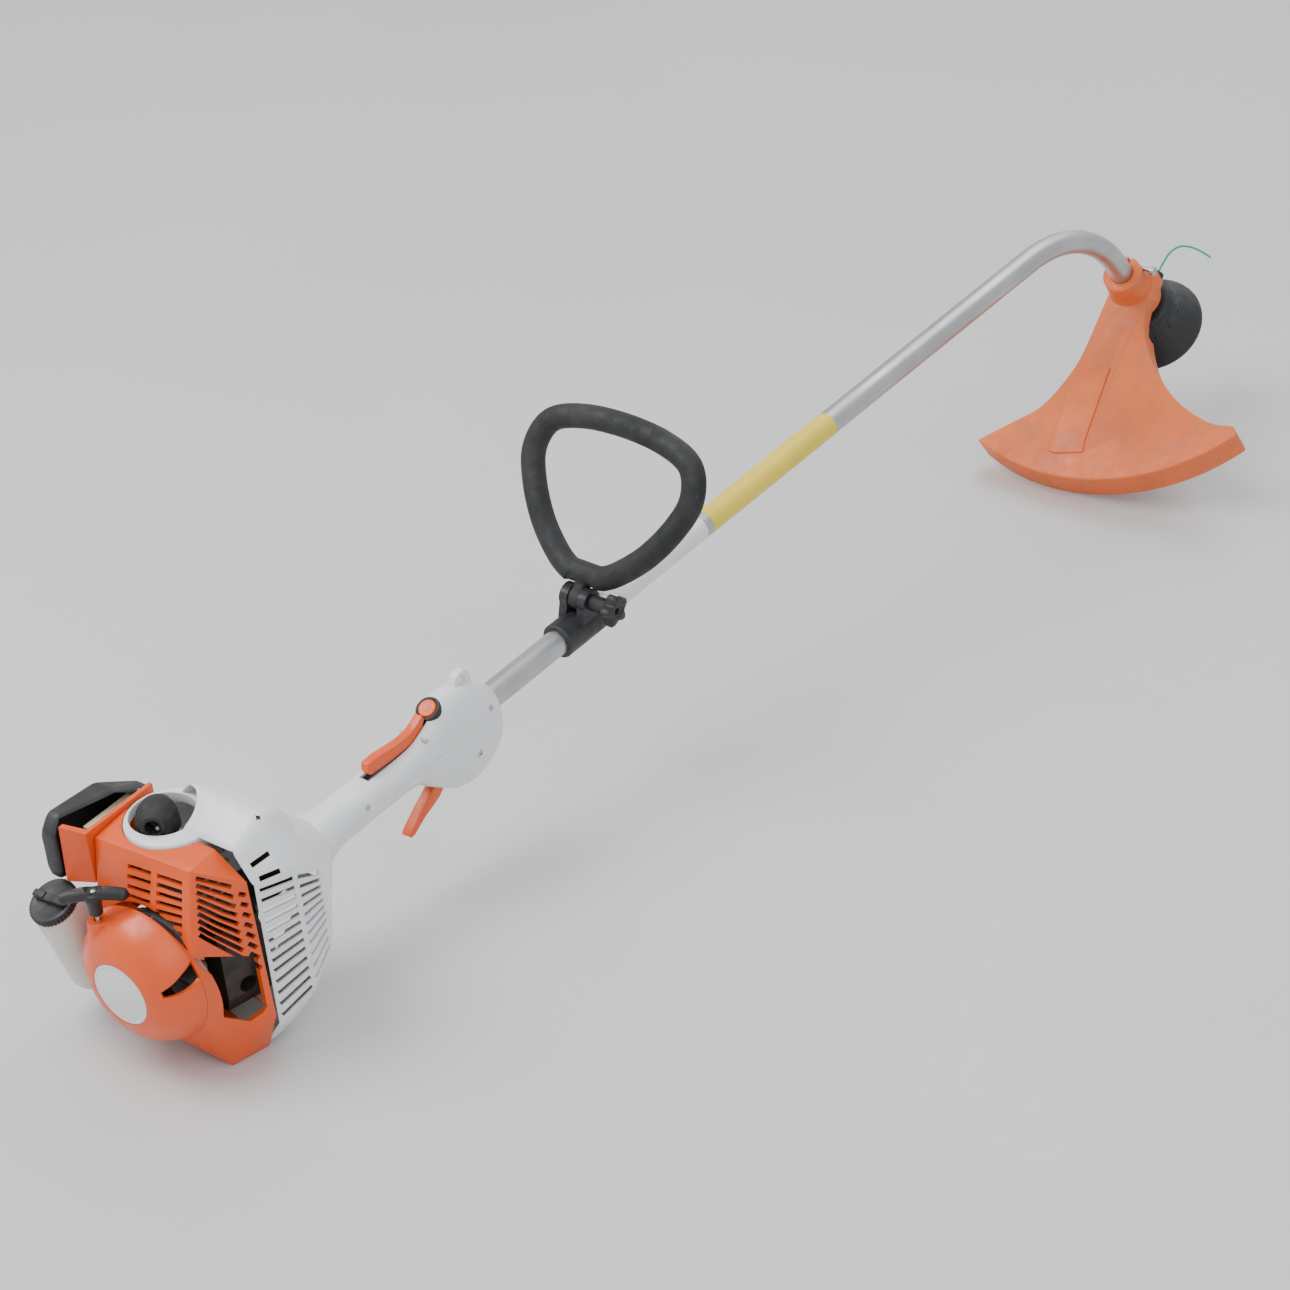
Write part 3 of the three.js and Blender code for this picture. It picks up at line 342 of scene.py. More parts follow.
def lathe(origin, axis, profile, count=72):
    """A turned piece; profile points are [distance along the axis, radius], without its end points."""
    axis = Vector(axis).normalized()
    return rings([circle(Vector(origin) + axis * along, axis, r, count) for along, r in profile])


def washer(origin, axis, start, end, r, bore, count=64):
    axis = Vector(axis).normalized()
    steps = [(start, bore), (start, r), (end, r), (end, bore), (start, bore)]
    loops = [circle(Vector(origin) + axis * a, axis, q, count) for a, q in steps]
    obj = rings(loops, close_ends=False)
    weld(obj)
    return obj


def weld(obj, distance=0.001):
    bm = bmesh.new()
    bm.from_mesh(obj.data)
    bmesh.ops.remove_doubles(bm, verts=bm.verts, dist=distance)
    bmesh.ops.recalc_face_normals(bm, faces=bm.faces)
    bm.to_mesh(obj.data)
    bm.free()


def smooth_points(points, steps):
    """Points along a Catmull-Rom curve through the given points, evenly by parameter."""
    pts = [Vector(p) for p in points]
    ends = [pts[0] * 2 - pts[1], *pts, pts[-1] * 2 - pts[-2]]
    made = []
    for i in range(1, len(ends) - 2):
        a, b, c, d = ends[i - 1], ends[i], ends[i + 1], ends[i + 2]
        for k in range(steps):
            t = k / steps
            made.append(0.5 * (2 * b + (c - a) * t + (2 * a - 5 * b + 4 * c - d) * t * t
                               + (3 * b - a - 3 * c + d) * t ** 3))
    return [*made, pts[-1]]


def sweep(points, radius, count=24, squash=1.0):
    """A round bar along points; radius is a number or a function of how far along, 0 to 1."""
    pts = [Vector(p) for p in points]
    tangents = [(pts[min(i + 1, len(pts) - 1)] - pts[max(i - 1, 0)]).normalized() for i in range(len(pts))]
    side = tangents[0].orthogonal().normalized()
    loops = []
    for i, (p, t) in enumerate(zip(pts, tangents)):
        if i:
            side = tangents[i - 1].rotation_difference(t) @ side
        other = t.cross(side)
        r = radius(i / (len(pts) - 1)) if callable(radius) else radius
        angles = [2 * math.pi * j / count for j in range(count)]
        loops.append([p + side * (r * math.cos(a)) + other * (r * squash * math.sin(a)) for a in angles])
    return rings(loops)


def block(centre, size, turn=None):
    turn = turn or Quaternion()
    corners = [(x, y, z) for x in (-0.5, 0.5) for y in (-0.5, 0.5) for z in (-0.5, 0.5)]
    points = [turn @ Vector([c * s for c, s in zip(corner, size)]) + Vector(centre) for corner in corners]
    faces = [(0, 1, 3, 2), (4, 6, 7, 5), (0, 4, 5, 1), (2, 3, 7, 6), (0, 2, 6, 4), (1, 5, 7, 3)]
    return from_faces(points, faces)


def rod(a, b, r, end_r=None, count=32):
    a, b = Vector(a), Vector(b)
    return rings([circle(a, b - a, r, count), circle(b, b - a, end_r or r, count)])


def flat(points, half):
    """A plate in the machine's upright middle plane, thickened sideways by a half width."""
    left = [Vector((x, half, z)) for x, z in points]
    right = [Vector((x, -half, z)) for x, z in points]
    return rings([left, right])


def join(objs):
    """Several objects as one mesh, without any boolean."""
    bm = bmesh.new()
    for obj in objs:
        bm.from_mesh(obj.data)
    for obj in objs:
        bpy.data.objects.remove(obj)
    return from_bmesh(bm)


def settle(obj):
    """Applies an object's modifiers."""
    graph = bpy.context.evaluated_depsgraph_get()
    mesh = bpy.data.meshes.new_from_object(obj.evaluated_get(graph))
    obj.modifiers.clear()
    obj.data = mesh
    return obj


def boolean(obj, others, operation="DIFFERENCE"):
    for other in others:
        modifier = obj.modifiers.new("cut", "BOOLEAN")
        modifier.operation = operation
        modifier.solver = "EXACT"
        modifier.object = other
        settle(obj)
        bpy.data.objects.remove(other)
    return obj


def bevel(obj, width, segments=3, angle=25):
    modifier = obj.modifiers.new("bevel", "BEVEL")
    modifier.width = width
    modifier.segments = segments
    modifier.limit_method = "ANGLE"
    modifier.angle_limit = math.radians(angle)
    modifier.harden_normals = False
    return settle(obj)


def melt(obj, voxel, rounds, factor=0.5):
    """Rounds a rough solid all over: fine voxels, then smoothing."""
    modifier = obj.modifiers.new("remesh", "REMESH")
    modifier.mode = "VOXEL"
    modifier.voxel_size = voxel
    settle(obj)
    modifier = obj.modifiers.new("smooth", "SMOOTH")
    modifier.factor = factor
    modifier.iterations = rounds
    return settle(obj)


def piece(obj, name, material, body="machine", replaces=(), sharp=35):
    """Puts a finished shape in the row's frame, on its body, with its material."""
    obj.name = name
    obj.data.name = name
    for vertex in obj.data.vertices:
        vertex.co = place(vertex.co)
    for polygon in obj.data.polygons:
        polygon.use_smooth = True
    if obj.data.polygons:
        obj.data.set_sharp_from_angle(angle=math.radians(sharp))
    obj.data.materials.clear()
    obj.data.materials.append(material)
    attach(obj, body)
    if replaces:
        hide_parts(*replaces)
    return obj


# ---- The cutting line: a free, stiff nylon line, drawn out of the eyelet ----
LINE_ROUTE = [(50, -40, 0), (50, -58, 0), (50, -72, -2), (51, -82, -9), (54, -86, -20), (58, -86, -32),
              (62, -84, -44)]


def cutting_line():
    route = smooth_points([head_point(*p) for p in LINE_ROUTE], 4)
    obj = sweep(route, 1.2, 12)
    piece(obj, "cutting_line_drawn", NYLON, "head", ["cutting_line"])


cutting_line()


# ---- Starter ----
ROPE_X, ROPE_Y, GRIP_Z = 19, 32, 82
DOME = [(0, 32.2), (0.4, 33.6), (1.6, 38), (4, 43.5), (8, 50), (13, 55.4), (19, 59.6), (26, 63), (32, 65),
        (36, 65.8)]


def starter_dome():
    outer = lathe((0, 0, 0), X, DOME, 96)
    guide = rings([circle((ROPE_X, ROPE_Y, z), Z, r) for z,
                   r in ((28, 12), (52, 9.9), (54.6, 9.5), (55.5, 8.6))])
    boolean(outer, [guide], "UNION")
    inner = lathe((WALL, 0, 0), X, [(along, r - WALL) for along, r in DOME], 96)
    seat = lathe((-2, 0, 0), X, [(0, 30.4), (2.6, 30.4)], 96)
    rope_hole = rod((ROPE_X, ROPE_Y, 25), (ROPE_X, ROPE_Y, 70), 3.4)
    # A scooped finger recess on the right of the dome, deepest where it meets the cover.
    scoop = sweep(smooth_points([(8, -44, 14), (18, -55, 19), (30, -62, 26), (42, -66, 34)], 6),
                  lambda t: 3.5 + 8.5 * t, 24)
    boolean(outer, [inner, seat, rope_hole, scoop])
    bevel(outer, 0.7, 2, 40)
    piece(outer, "starter_dome", ORANGE, replaces=["starter_housing"])


def badge():
    disc = lathe((0, 0, 0), X, [(-0.1, 29.2), (-0.5, 28.6), (-0.5, 27.4), (-0.25, 26.9), (-0.25, 26.3),
                                (-0.45, 25.8),
                                (-0.5, 1), (0.4, 1), (0.4, 29.6), (0.1, 29.8), (-0.1, 29.2)], 96)
    weld(disc)
    piece(disc, "badge_disc", BADGE_FACE, replaces=["badge_plate"])


def starter_grip():
    across = Vector((0.607, -0.795, 0))
    stations = [i / 8 - 1 for i in range(17)]
    line = [Vector((ROPE_X, ROPE_Y, GRIP_Z + 1 - 5 * t * t)) + across * 31 * t for t in stations]

    def thick(t):
        end = abs(2 * t - 1)
        if end > 0.78:
            return 6.4 * math.sqrt(max(0.02, 1 - max(0.0, (end - 0.78) / 0.22) ** 2))
        return 6.4 - 0.8 * end

    bar = sweep(line, thick, 24)
    stem = rings([circle((ROPE_X, ROPE_Y, z), Z, r) for z,
                  r in ((61.2, 5.2), (62, 6), (72, 6.4), (80, 8.5), (84, 8))])
    boolean(bar, [stem], "UNION")
    melt(bar, 0.7, 4)
    well = rings([circle((ROPE_X, ROPE_Y, z), Z, r) for z, r in ((83.5, 3.2), (86, 5.4), (92, 8.4))])
    bore = rod((ROPE_X, ROPE_Y, 50), (ROPE_X, ROPE_Y, 90), 2.3)
    finger_cuts = [rod(line[k] + Z * 9.4 - across * 8, line[k] + Z * 9.4 + across * 8,
                       4.2) for k in (4, 12)]
    boolean(bar, [well, bore, *finger_cuts])
    piece(bar, "starter_grip_bar", BLACK, "starter_grip", ["starter_grip"], 50)
    knot = sweep([(ROPE_X, ROPE_Y, 82.4), (ROPE_X + 1, ROPE_Y, 84), (ROPE_X + 0.5, ROPE_Y + 1, 85.6)],
                 lambda t: 2.6 - 1.6 * (2 * t - 1) ** 2, 16)
    melt(knot, 0.35, 3)
    piece(knot, "starter_rope_knot", ROPE, "starter_grip")


def starter_rope():
    rise = [(ROPE_X, ROPE_Y, -2 + i * (GRIP_Z + 1) / 90) for i in range(91)]
    rope = sweep(rise, lambda t: 1.7 + 0.1 * math.cos(t * 90 * math.pi), 14)
    rope.name = "rope"
    for vertex in rope.data.vertices:
        vertex.co = place(vertex.co)
    for polygon in rope.data.polygons:
        polygon.use_smooth = True
    rope.name = "starter_rope_run"
    rope.data.materials.append(ROPE)
    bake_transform(rope)
    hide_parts("starter_rope")


# ---- Orange cover ----
COVER = {
    "top_left": (58, 62, 104), "top_right": (64, -43, 106), "rib_foot": (39, -52, 34),
         "left_foot": (42, 62, 12),
    "seam_top": (SEAM_X, -40, 106), "seam_top_left": (SEAM_X, 62, 108), "seam_right": (SEAM_X, -72, 84),
    "seam_low": (SEAM_X, -78, -60), "toe": (57, -58, floor_z(57)),
         "seam_toe": (SEAM_X, -62, floor_z(SEAM_X)),
    "seam_left": (SEAM_X, 62, 12),
}
COVER = {name: Vector(p) for name, p in COVER.items()}
SURROUND = Vector((109, 20, 0))
SURROUND_R = 42


def cover_solid(inset):
    middle = Vector((SEAM_X, -8, 2))

    def moved(p):
        d = p - middle
        if not inset:
            return p
        d = Vector([c if abs(c) < 1 else c - math.copysign(inset * 1.3, c) for c in d])
        if abs(d.x) < 1:
            d.x = 3
        return middle + d

    c = {name: moved(p) for name, p in COVER.items()}
    upper = [c[k] for k in ("top_left", "top_right", "rib_foot", "left_foot", "seam_top", "seam_top_left",
                            "seam_right", "seam_low", "seam_left")]
    dome = circle((36.4 + inset * 0.2, 0, 0), X, 66 - inset, 72)
    lower = [*dome, c["rib_foot"], c["seam_low"], c["toe"], c["seam_toe"],
             Vector((SEAM_X + (3 if inset else 0), 20, -66 + inset))]
    return boolean(hull(upper), [hull(lower)], "UNION")


def quad_point(quad, u, v):
    """A point on a four-cornered face: u from left to right, v from top to bottom."""
    a, b, c, d = quad
    return (a.lerp(b, u)).lerp(d.lerp(c, u), v)


def grille(quad, u0, u1, v0, v1, count, tall, deep=14, ends=None):
    """Slot cutters across a face, in a column; ends(i) can give each its own u range."""
    made = []
    for i in range(count):
        v = v0 + (v1 - v0) * i / max(1, count - 1)
        left, right = ends(i) if ends else (u0, u1)
        p, q = quad_point(quad, left, v), quad_point(quad, right, v)
        along = (q - p).normalized()
        down = (quad_point(quad, 0.5, 1) - quad_point(quad, 0.5, 0)).normalized()
        out = along.cross(down).normalized()
        down = out.cross(along).normalized()
        turn = Matrix((along, down, out)).transposed().to_quaternion()
        made.append(block((p + q) / 2, ((q - p).length, tall, deep), turn))
    return made


def engine_cover():
    shell = cover_solid(0)
    bevel(shell, 2.6, 4, 14)
    rear = [COVER["top_left"], COVER["top_right"], COVER["rib_foot"], COVER["left_foot"]]
    side = [COVER["top_right"], COVER["seam_right"], COVER["seam_low"], COVER["rib_foot"]]
    cuts = [join(columns) for columns in (
        grille(rear, 0.36, 0.60, 0.17, 0.80, 7, 4.4),
        grille(rear, 0.66, 0.92, 0.17, 0.84, 8, 4.4, ends=lambda i: (0.66 + 0.035 * max(0, i - 5), 0.92)),
        grille(side, 0.10, 0.70, 0.06, 0.66, 9, 4.2, 16),
        grille(side, 0.80, 0.93, 0.10, 0.66, 8, 4.4, 16),
    )]
    window = [(50, 30), (93, 8), (92, -47), (74, -52), (50, -32)]
    opening = rings([[Vector((x, -95, z)) for x, z in window], [Vector((x, -40, z)) for x, z in window]])
    inner = cover_solid(WALL)
    room = hull([Vector((x, y, z)) for x,
                 z in ((57, 84), (104, 84), (104, 20), (46, 20)) for y in (-38, 50)])
    dome_hole = lathe((0, 0, 0), X, [(20, 62.5), (50, 62.5)], 96)
    recess = rod((SURROUND.x, SURROUND.y, 98), (SURROUND.x, SURROUND.y, 140), SURROUND_R + 0.4, count=96)
    floor_cut = block(Vector((100, 0, floor_z(100) - 100)), (900, 900, 200), Quaternion(Y, RISE))
    boolean(shell, [inner, room, dome_hole, recess, opening, *cuts, floor_cut])
    bevel(shell, 0.6, 2, 40)
    piece(shell, "engine_cover_shell", ORANGE, replaces=["engine_cover"], sharp=40)


# ---- Light shroud ----
SHROUD = [
    (SEAM_X + 0.35, 110, floor_z(SEAM_X), 62, -79, 0.26), (134, 127, -98, 58, -94, 0.42),
          (168, 108, -78, 54, -88, 0.55),
    (205, 62, -46, 46, -56, 0.55), (236, 31, -31, 31, -31, 0.55),
]


def section(x, top, bottom, left, right, corner, inset=0.0):
    t, b, l, r = top - inset, bottom + inset, left - inset, right + inset
    dy, dz = corner * (l - r) / 2, corner * (t - b) / 2
    outline = [(l, t - dz), (l - dy, t), (r + dy, t), (r, t - dz), (r, b + dz), (r + dy, b), (l - dy, b),
               (l, b + dz)]
    return [Vector((x, y, z)) for y, z in outline]


def shroud_solid(inset=0.0, over=0.0):
    rows = [list(s) for s in SHROUD]
    rows[0][0] -= over
    rows[-1][0] += over
    solid = rings([section(*row, inset=inset) for row in rows])
    return solid


def engine_shroud():
    shell = shroud_solid()
    bevel(shell, 7, 5, 8)
    # The right flank carries two slatted facets; their corners are read from the sections.
    s = [section(*row) for row in SHROUD]
    near = [s[0][3], s[1][3], s[1][4], s[0][4]]
    far = [s[1][3], s[2][3], s[2][4], s[1][4]]
    roof = [s[0][2], s[1][2], s[1][3], s[0][3]]
    cuts = [join(columns) for columns in (
        grille(near, 0.12, 0.92, 0.05, 0.62, 9, 4.6, 16),
        grille(near, 0.12, 0.92, 0.70, 0.94, 4, 4.6, 16),
        grille(far, 0.08, 0.92, 0.05, 0.62, 8, 3.8, 16),
        grille(far, 0.08, 0.85, 0.72, 0.92, 3, 3.8, 16),
        grille(roof, 0.2, 0.72, 0.55, 0.9, 2, 4.6, 14),
    )]
    plug = rod((108, 28, 60), (108, 28, 150), 30, count=96)
    tank_side = block((156, 41, -82), (116, 98, 98))
    floor_cut = block(Vector((100, 0, floor_z(100) - 100)), (900, 900, 200), Quaternion(Y, RISE))
    boolean(shell, [shroud_solid(WALL, 1.0), *cuts, tank_side, floor_cut])
    surround = rings([circle((SURROUND.x, SURROUND.y, z), Z, r, 96)
                      for z, r in ((99, 41.4), (106, 41.6), (108.4, 41), (109.4, 39.4))])
    boolean(surround, [plug])
    bevel(surround, 0.8, 3, 40)
    piece(surround, "plug_surround", LIGHT, sharp=40)
    boolean(shell, [rod((108, 28, 60), (108, 28, 150), 31, count=96)])
    bevel(shell, 0.5, 2, 40)
    piece(shell, "engine_shroud_shell", LIGHT, replaces=["engine_shroud"], sharp=40)


# ---- Plug boot, filter cover, tank ----
def plug_boot():
    axis = Vector((0, math.sin(math.radians(35)), math.cos(math.radians(35))))
    seat = Vector((94, 3, 80))
    foot = rod(seat + axis * 23, seat + axis * 38, 10, 12)
    hood = rings([circle((102, 29, 99), Z, 19, 32), circle((101, 29, 108), Z, 19.5, 32),
                  circle((102, 29, 117), Z, 17.5, 32), circle((104, 30, 124), Z, 12, 32),
                  circle((105, 30, 127), Z, 5, 32)])
    snout = rod((98, 26, 113), (84, 17, 114), 10.5, 11, count=32)
    boolean(foot, [hood, snout], "UNION")
    boolean(foot, [rod((96, 25, 113), (80, 14, 114), 7, count=32)])
    melt(foot, 0.9, 8)
    piece(foot, "plug_boot_hood", RUBBER, replaces=["plug_boot"], sharp=60)


def filter_cover():
    outline = [(34, 112, 64, 103, 85, 0.35), (46, 124, 60, 106, 85, 0.35), (100, 121, 58, 106, 70, 0.35),
               (140, 100, 62, 96, 70, 0.35)]
    shell = rings([section(*row) for row in outline])
    bevel(shell, 3.5, 4, 15)
    inner = rings([section(x + dx, t, b, l, r - 4, c, inset=WALL)
                   for (x, t, b, l, r, c), dx in zip(outline, (WALL, 0, 0, -WALL))])
    room = block((89, 70, 88.5), (90, 20, 63))
    ribs = [block((x, 107.5, 90), (2.2, 4, 42)) for x in (62, 76, 90, 104, 118)]
    boolean(shell, [inner, room, join(ribs)])
    bevel(shell, 0.6, 2, 40)
    piece(shell, "filter_cover_shell", BLACK, "filter_cover", ["filter_cover"], 40)


CAP_AT, CAP_AXIS = Vector((26, 92, 40)), Vector((-0.4, 0.1, 0.9)).normalized()


def fuel_tank():
    bulge = hull([*circle(CAP_AT, CAP_AXIS, 22.5), *circle((52, 92, -50), (-0.2, 0, 1), 22),
                  *circle((66, 92, -74), Z, 14), Vector((100, 70, -44)), Vector((100, 112, -44))])
    rows = [(62, -44, floor_z(62) + 12, 112, 66, 0.5), (82, -38, floor_z(82) + 0.6, 118, -7, 0.3),
            (150, -38, floor_z(150) + 0.6, 114, -7, 0.3), (176, -46, floor_z(176) + 16, 96, -7, 0.5)]
    main = rings([section(*row) for row in rows])
    boolean(bulge, [main], "UNION")
    melt(bulge, 2.0, 14)
    neck = rod(CAP_AT, CAP_AT + CAP_AXIS * 4.6, 18, count=64)
    boolean(bulge, [neck], "UNION")
    boolean(bulge, [cover_solid(-0.6)])
    piece(bulge, "fuel_tank_body", TANK, replaces=["fuel_tank"], sharp=50)


def fuel_cap():
    knurl = 40
    turn = Z.rotation_difference(CAP_AXIS)

    def rim(r, along, depth):
        points = []
        for i in range(knurl * 4):
            a = 2 * math.pi * i / (knurl * 4)
            q = r - depth * (0.5 + 0.5 * math.cos(a * knurl))
            points.append(turn @ Vector((q * math.cos(a), q * math.sin(a), along)) + CAP_AT)
        return points

    lid = rings([rim(22, 0.6, 0.8), rim(22.9, 1.2, 0.9), rim(22.9, 6.4, 0.9), rim(21.6, 7.8, 0.2),
                 rim(18, 8.1, 0),
                 rim(15, 7.0, 0), rim(3, 7.0, 0)])
    wing = block(CAP_AT + CAP_AXIS * 10.8, (7, 36, 8), turn)
    bevel(wing, 1.6, 4)
    notch = block(CAP_AT + CAP_AXIS * 14.8, (8, 9, 3), turn)
    boolean(wing, [notch])
    boolean(lid, [wing], "UNION")
    boolean(lid, [rod(CAP_AT - CAP_AXIS, CAP_AT + CAP_AXIS * 5, 18.5, count=64)])
    bevel(lid, 0.5, 2, 40)
    piece(lid, "fuel_cap_lid", BLACK, "fuel_cap", ["fuel_cap"], 40)


# ---- Control handle ----
HANDLE = [
    (237, 28, -28, 28, -28, 0.55), (262, 22, -22, 21, -21, 0.55), (292, 19.8, -20, 19.6, -19.6, 0.5),
    (366, 20, -21, 19.6, -19.6, 0.5), (392, 28, -37, 20, -20, 0.5), (424, 45, -60, 23, -23, 0.5),
    (450, 42, -65, 24, -24, 0.5), (474, 30, -57, 22, -22, 0.5), (488, 17, -46, 17, -17, 0.5),
]
BUTTON_AT, BUTTON_AXIS = Vector((411, 0, 37)), Vector((-0.5, 0, 0.866)).normalized()
EYE = Vector((455, 0, 44))


def oval(x, top, bottom, left, right, corner, count=40):
    """A rounded section: a superellipse between the four sides, fuller where the corner is smaller."""
    power = 2 / (2.0 + 2.2 * (0.6 - corner))
    mid_y, mid_z = (left + right) / 2, (top + bottom) / 2
    half_y, half_z = (left - right) / 2, (top - bottom) / 2
    points = []
    for i in range(count):
        a = 2 * math.pi * i / count
        ca, sa = math.cos(a), math.sin(a)
        points.append(Vector((x, mid_y + half_y * math.copysign(abs(ca) ** power, ca),
                              mid_z + half_z * math.copysign(abs(sa) ** power, sa))))
    return points


def smooth_rows(rows, steps):
    """Rows of numbers, with smoothly joined rows between them."""
    made = []
    for i in range(len(rows) - 1):
        before, a, b, after = rows[max(0, i - 1)], rows[i], rows[i + 1], rows[min(len(rows) - 1, i + 2)]
        for k in range(steps):
            t = k / steps
            made.append(tuple(0.5 * (2 * q + (r - p) * t + (2 * p - 5 * q + 4 * r - s) * t * t
                                     + (3 * q - p - 3 * r + s) * t ** 3)
                              for p, q, r, s in zip(before, a, b, after)))
    made.append(rows[-1])
    return made


def handle_shells():
    rows = smooth_rows(HANDLE, 5)
    rows = [(x, min(t, 45), b, l, r, c) for x, t, b, l, r, c in rows]
    lug = flat([(446, 36), (444, 44), (447, 50), (452, 53), (459, 53), (464, 49), (467, 42), (468, 30)],
               4.5)
    bevel(lug, 1.2, 3)
    eye = rod(EYE - Y * 9, EYE + Y * 9, 4.6)
    collar_seat = rod(BUTTON_AT - BUTTON_AXIS * 12, BUTTON_AT + BUTTON_AXIS * 12, 12.3, count=64)
    lever_slot = block((360, 0, 35), (84, 11.4, 50))
    trigger_slot = block((399, 0, -42), (66, 13.4, 36))
    tube_hole = rod((470, 0, 0), (500, 0, 0), TUBE_R + 0.3, count=64)
    for name, node, low, high in (("handle_shell_upper", "handle_upper_shell", 0.2, 90),
                                  ("handle_shell_lower", "handle_lower_shell", -90, -0.2)):
        solid = rings([oval(*row) for row in rows])
        inside = rings([oval(x + dx, t - WALL, b + WALL, l - WALL, r + WALL, c) for (x, t, b, l, r, c),
                        dx in
                        zip(rows, [-1] + [0] * (len(rows) - 2) + [-3])])
        extra = [lug.copy(), eye.copy(), collar_seat.copy(), lever_slot.copy(), trigger_slot.copy(),
                 tube_hole.copy()]
        for copied in extra:
            copied.data = copied.data.copy()
            bpy.context.scene.collection.objects.link(copied)
        boolean(solid, [extra[0]], "UNION")
        boolean(solid, [inside, *extra[1:]])
        half = block((365, 0, (low + high) / 2), (400, 120, high - low))
        boolean(solid, [half], "INTERSECT")
        bevel(solid, 0.6, 2, 45)
        piece(solid, name, LIGHT, replaces=[node], sharp=40)
    for used in (lug, eye, collar_seat, lever_slot, trigger_slot, tube_hole):
        bpy.data.objects.remove(used)


def controls():
    collar = washer(BUTTON_AT, BUTTON_AXIS, -8.8, 2.4, 11.9, 9.4)
    bevel(collar, 0.8, 3)
    piece(collar, "stop_switch_collar", BLACK, replaces=["switch_collar"])
    button = lathe(BUTTON_AT, BUTTON_AXIS,
                   [(-6, 8.9), (2.6, 8.9), (3.6, 8.2), (4, 7), (3.4, 4), (3.2, 1)], 64)
    piece(button, "stop_button_cap", ORANGE, "stop_button", ["stop_button"])

    back = [(321, 26), (322, 34), (336, 34.6), (352, 32.4), (366, 31), (380, 31.2), (390, 35), (398, 40),
            (400, 35),
            (396, 27), (389, 16.2), (383, 16.6), (380, 19), (352, 19.4), (334, 20.5), (323, 21.4)]
    lever = flat(back, 4.9)
    bevel(lever, 1.5, 4, 30)
    piece(lever, "lockout_lever_blade", ORANGE, "lockout_lever", ["lockout_lever"])

    blade = [(414, -26), (421, -28), (423.5, -35), (416, -46), (404, -55.6), (394, -60), (384, -63.6),
             (374, -69),
             (366, -74), (361, -74.6), (358.4, -72), (364, -66.5), (372, -60.5), (380, -54.4),
             (388, -49.6),
             (396, -44), (404, -36), (409, -29)]
    trigger = flat(blade, 5.9)
    bevel(trigger, 1.8, 4, 30)
    piece(trigger, "throttle_trigger_blade", ORANGE, "throttle_trigger", ["throttle_trigger"])


# ---- Tube, labels, loop handle ----
def tube_line(start, count=40):
    bend = [on_bend(BEND * i / count) for i in range(count + 1)]
    straight = [Vector((start + (BEND_START - start) * i / 8, 0, 0)) for i in range(8)]
    return [*straight, *bend, TUBE_END]


def shaft():
    outer = sweep(tube_line(168), TUBE_R, 56)
    boolean(outer, [rod(TUBE_END - OUT * 20, TUBE_END + OUT * 5, TUBE_R - 1.5, count=56)])
    piece(outer, "shaft_tube_outer", TUBE, replaces=["shaft_tube"], sharp=50)
    for name, start, end, material in (("blank_label_white", 663, 812, WHITE_LABEL),
                                       ("blank_label_yellow", 822, 1027, YELLOW_LABEL)):
        label = washer((0, 0, 0), X, start, end, TUBE_R + 0.16, TUBE_R + 0.02, 64)
        piece(label, name, material)


def loop_handle():
    tilt = math.radians(33)
    up = Vector((math.sin(tilt), 0, math.cos(tilt)))

    def on_loop(side, rise):
        return BOLT + up * rise + Y * side

    right = [(13, 21), (34, 32), (62, 58), (84, 92), (93, 122), (82, 150), (48, 163), (0, 167)]
    outline = [on_loop(*p) for p in right] + [on_loop(-s, r) for s, r in reversed(right[:-1])]
    loop = sweep(smooth_points(outline, 8), 11.9, 32)
    bridge = rod(on_loop(-16, 24), on_loop(16, 24), 11)
    yoke = hull([*circle(BOLT + up * 22, up, 12), *circle(BOLT + up * 12, up, 6)])
    boolean(loop, [bridge, yoke], "UNION")
    boolean(loop, [rod(BOLT - Y * 40, BOLT + Y * 40, 13)])
    lug = rod(BOLT - Y * 5.5, BOLT + Y * 5.5, 11.4)
    stub = block(BOLT + up * 10, (14, 11, 14), Z.rotation_difference(up))
    boolean(loop, [lug, stub], "UNION")
    boolean(loop, [rod(BOLT - Y * 12, BOLT + Y * 12, 3.4)])
    melt(loop, 1.3, 3)
    piece(loop, "loop_handle_grip", RUBBER, "loop_handle", ["loop_handle"], 60)


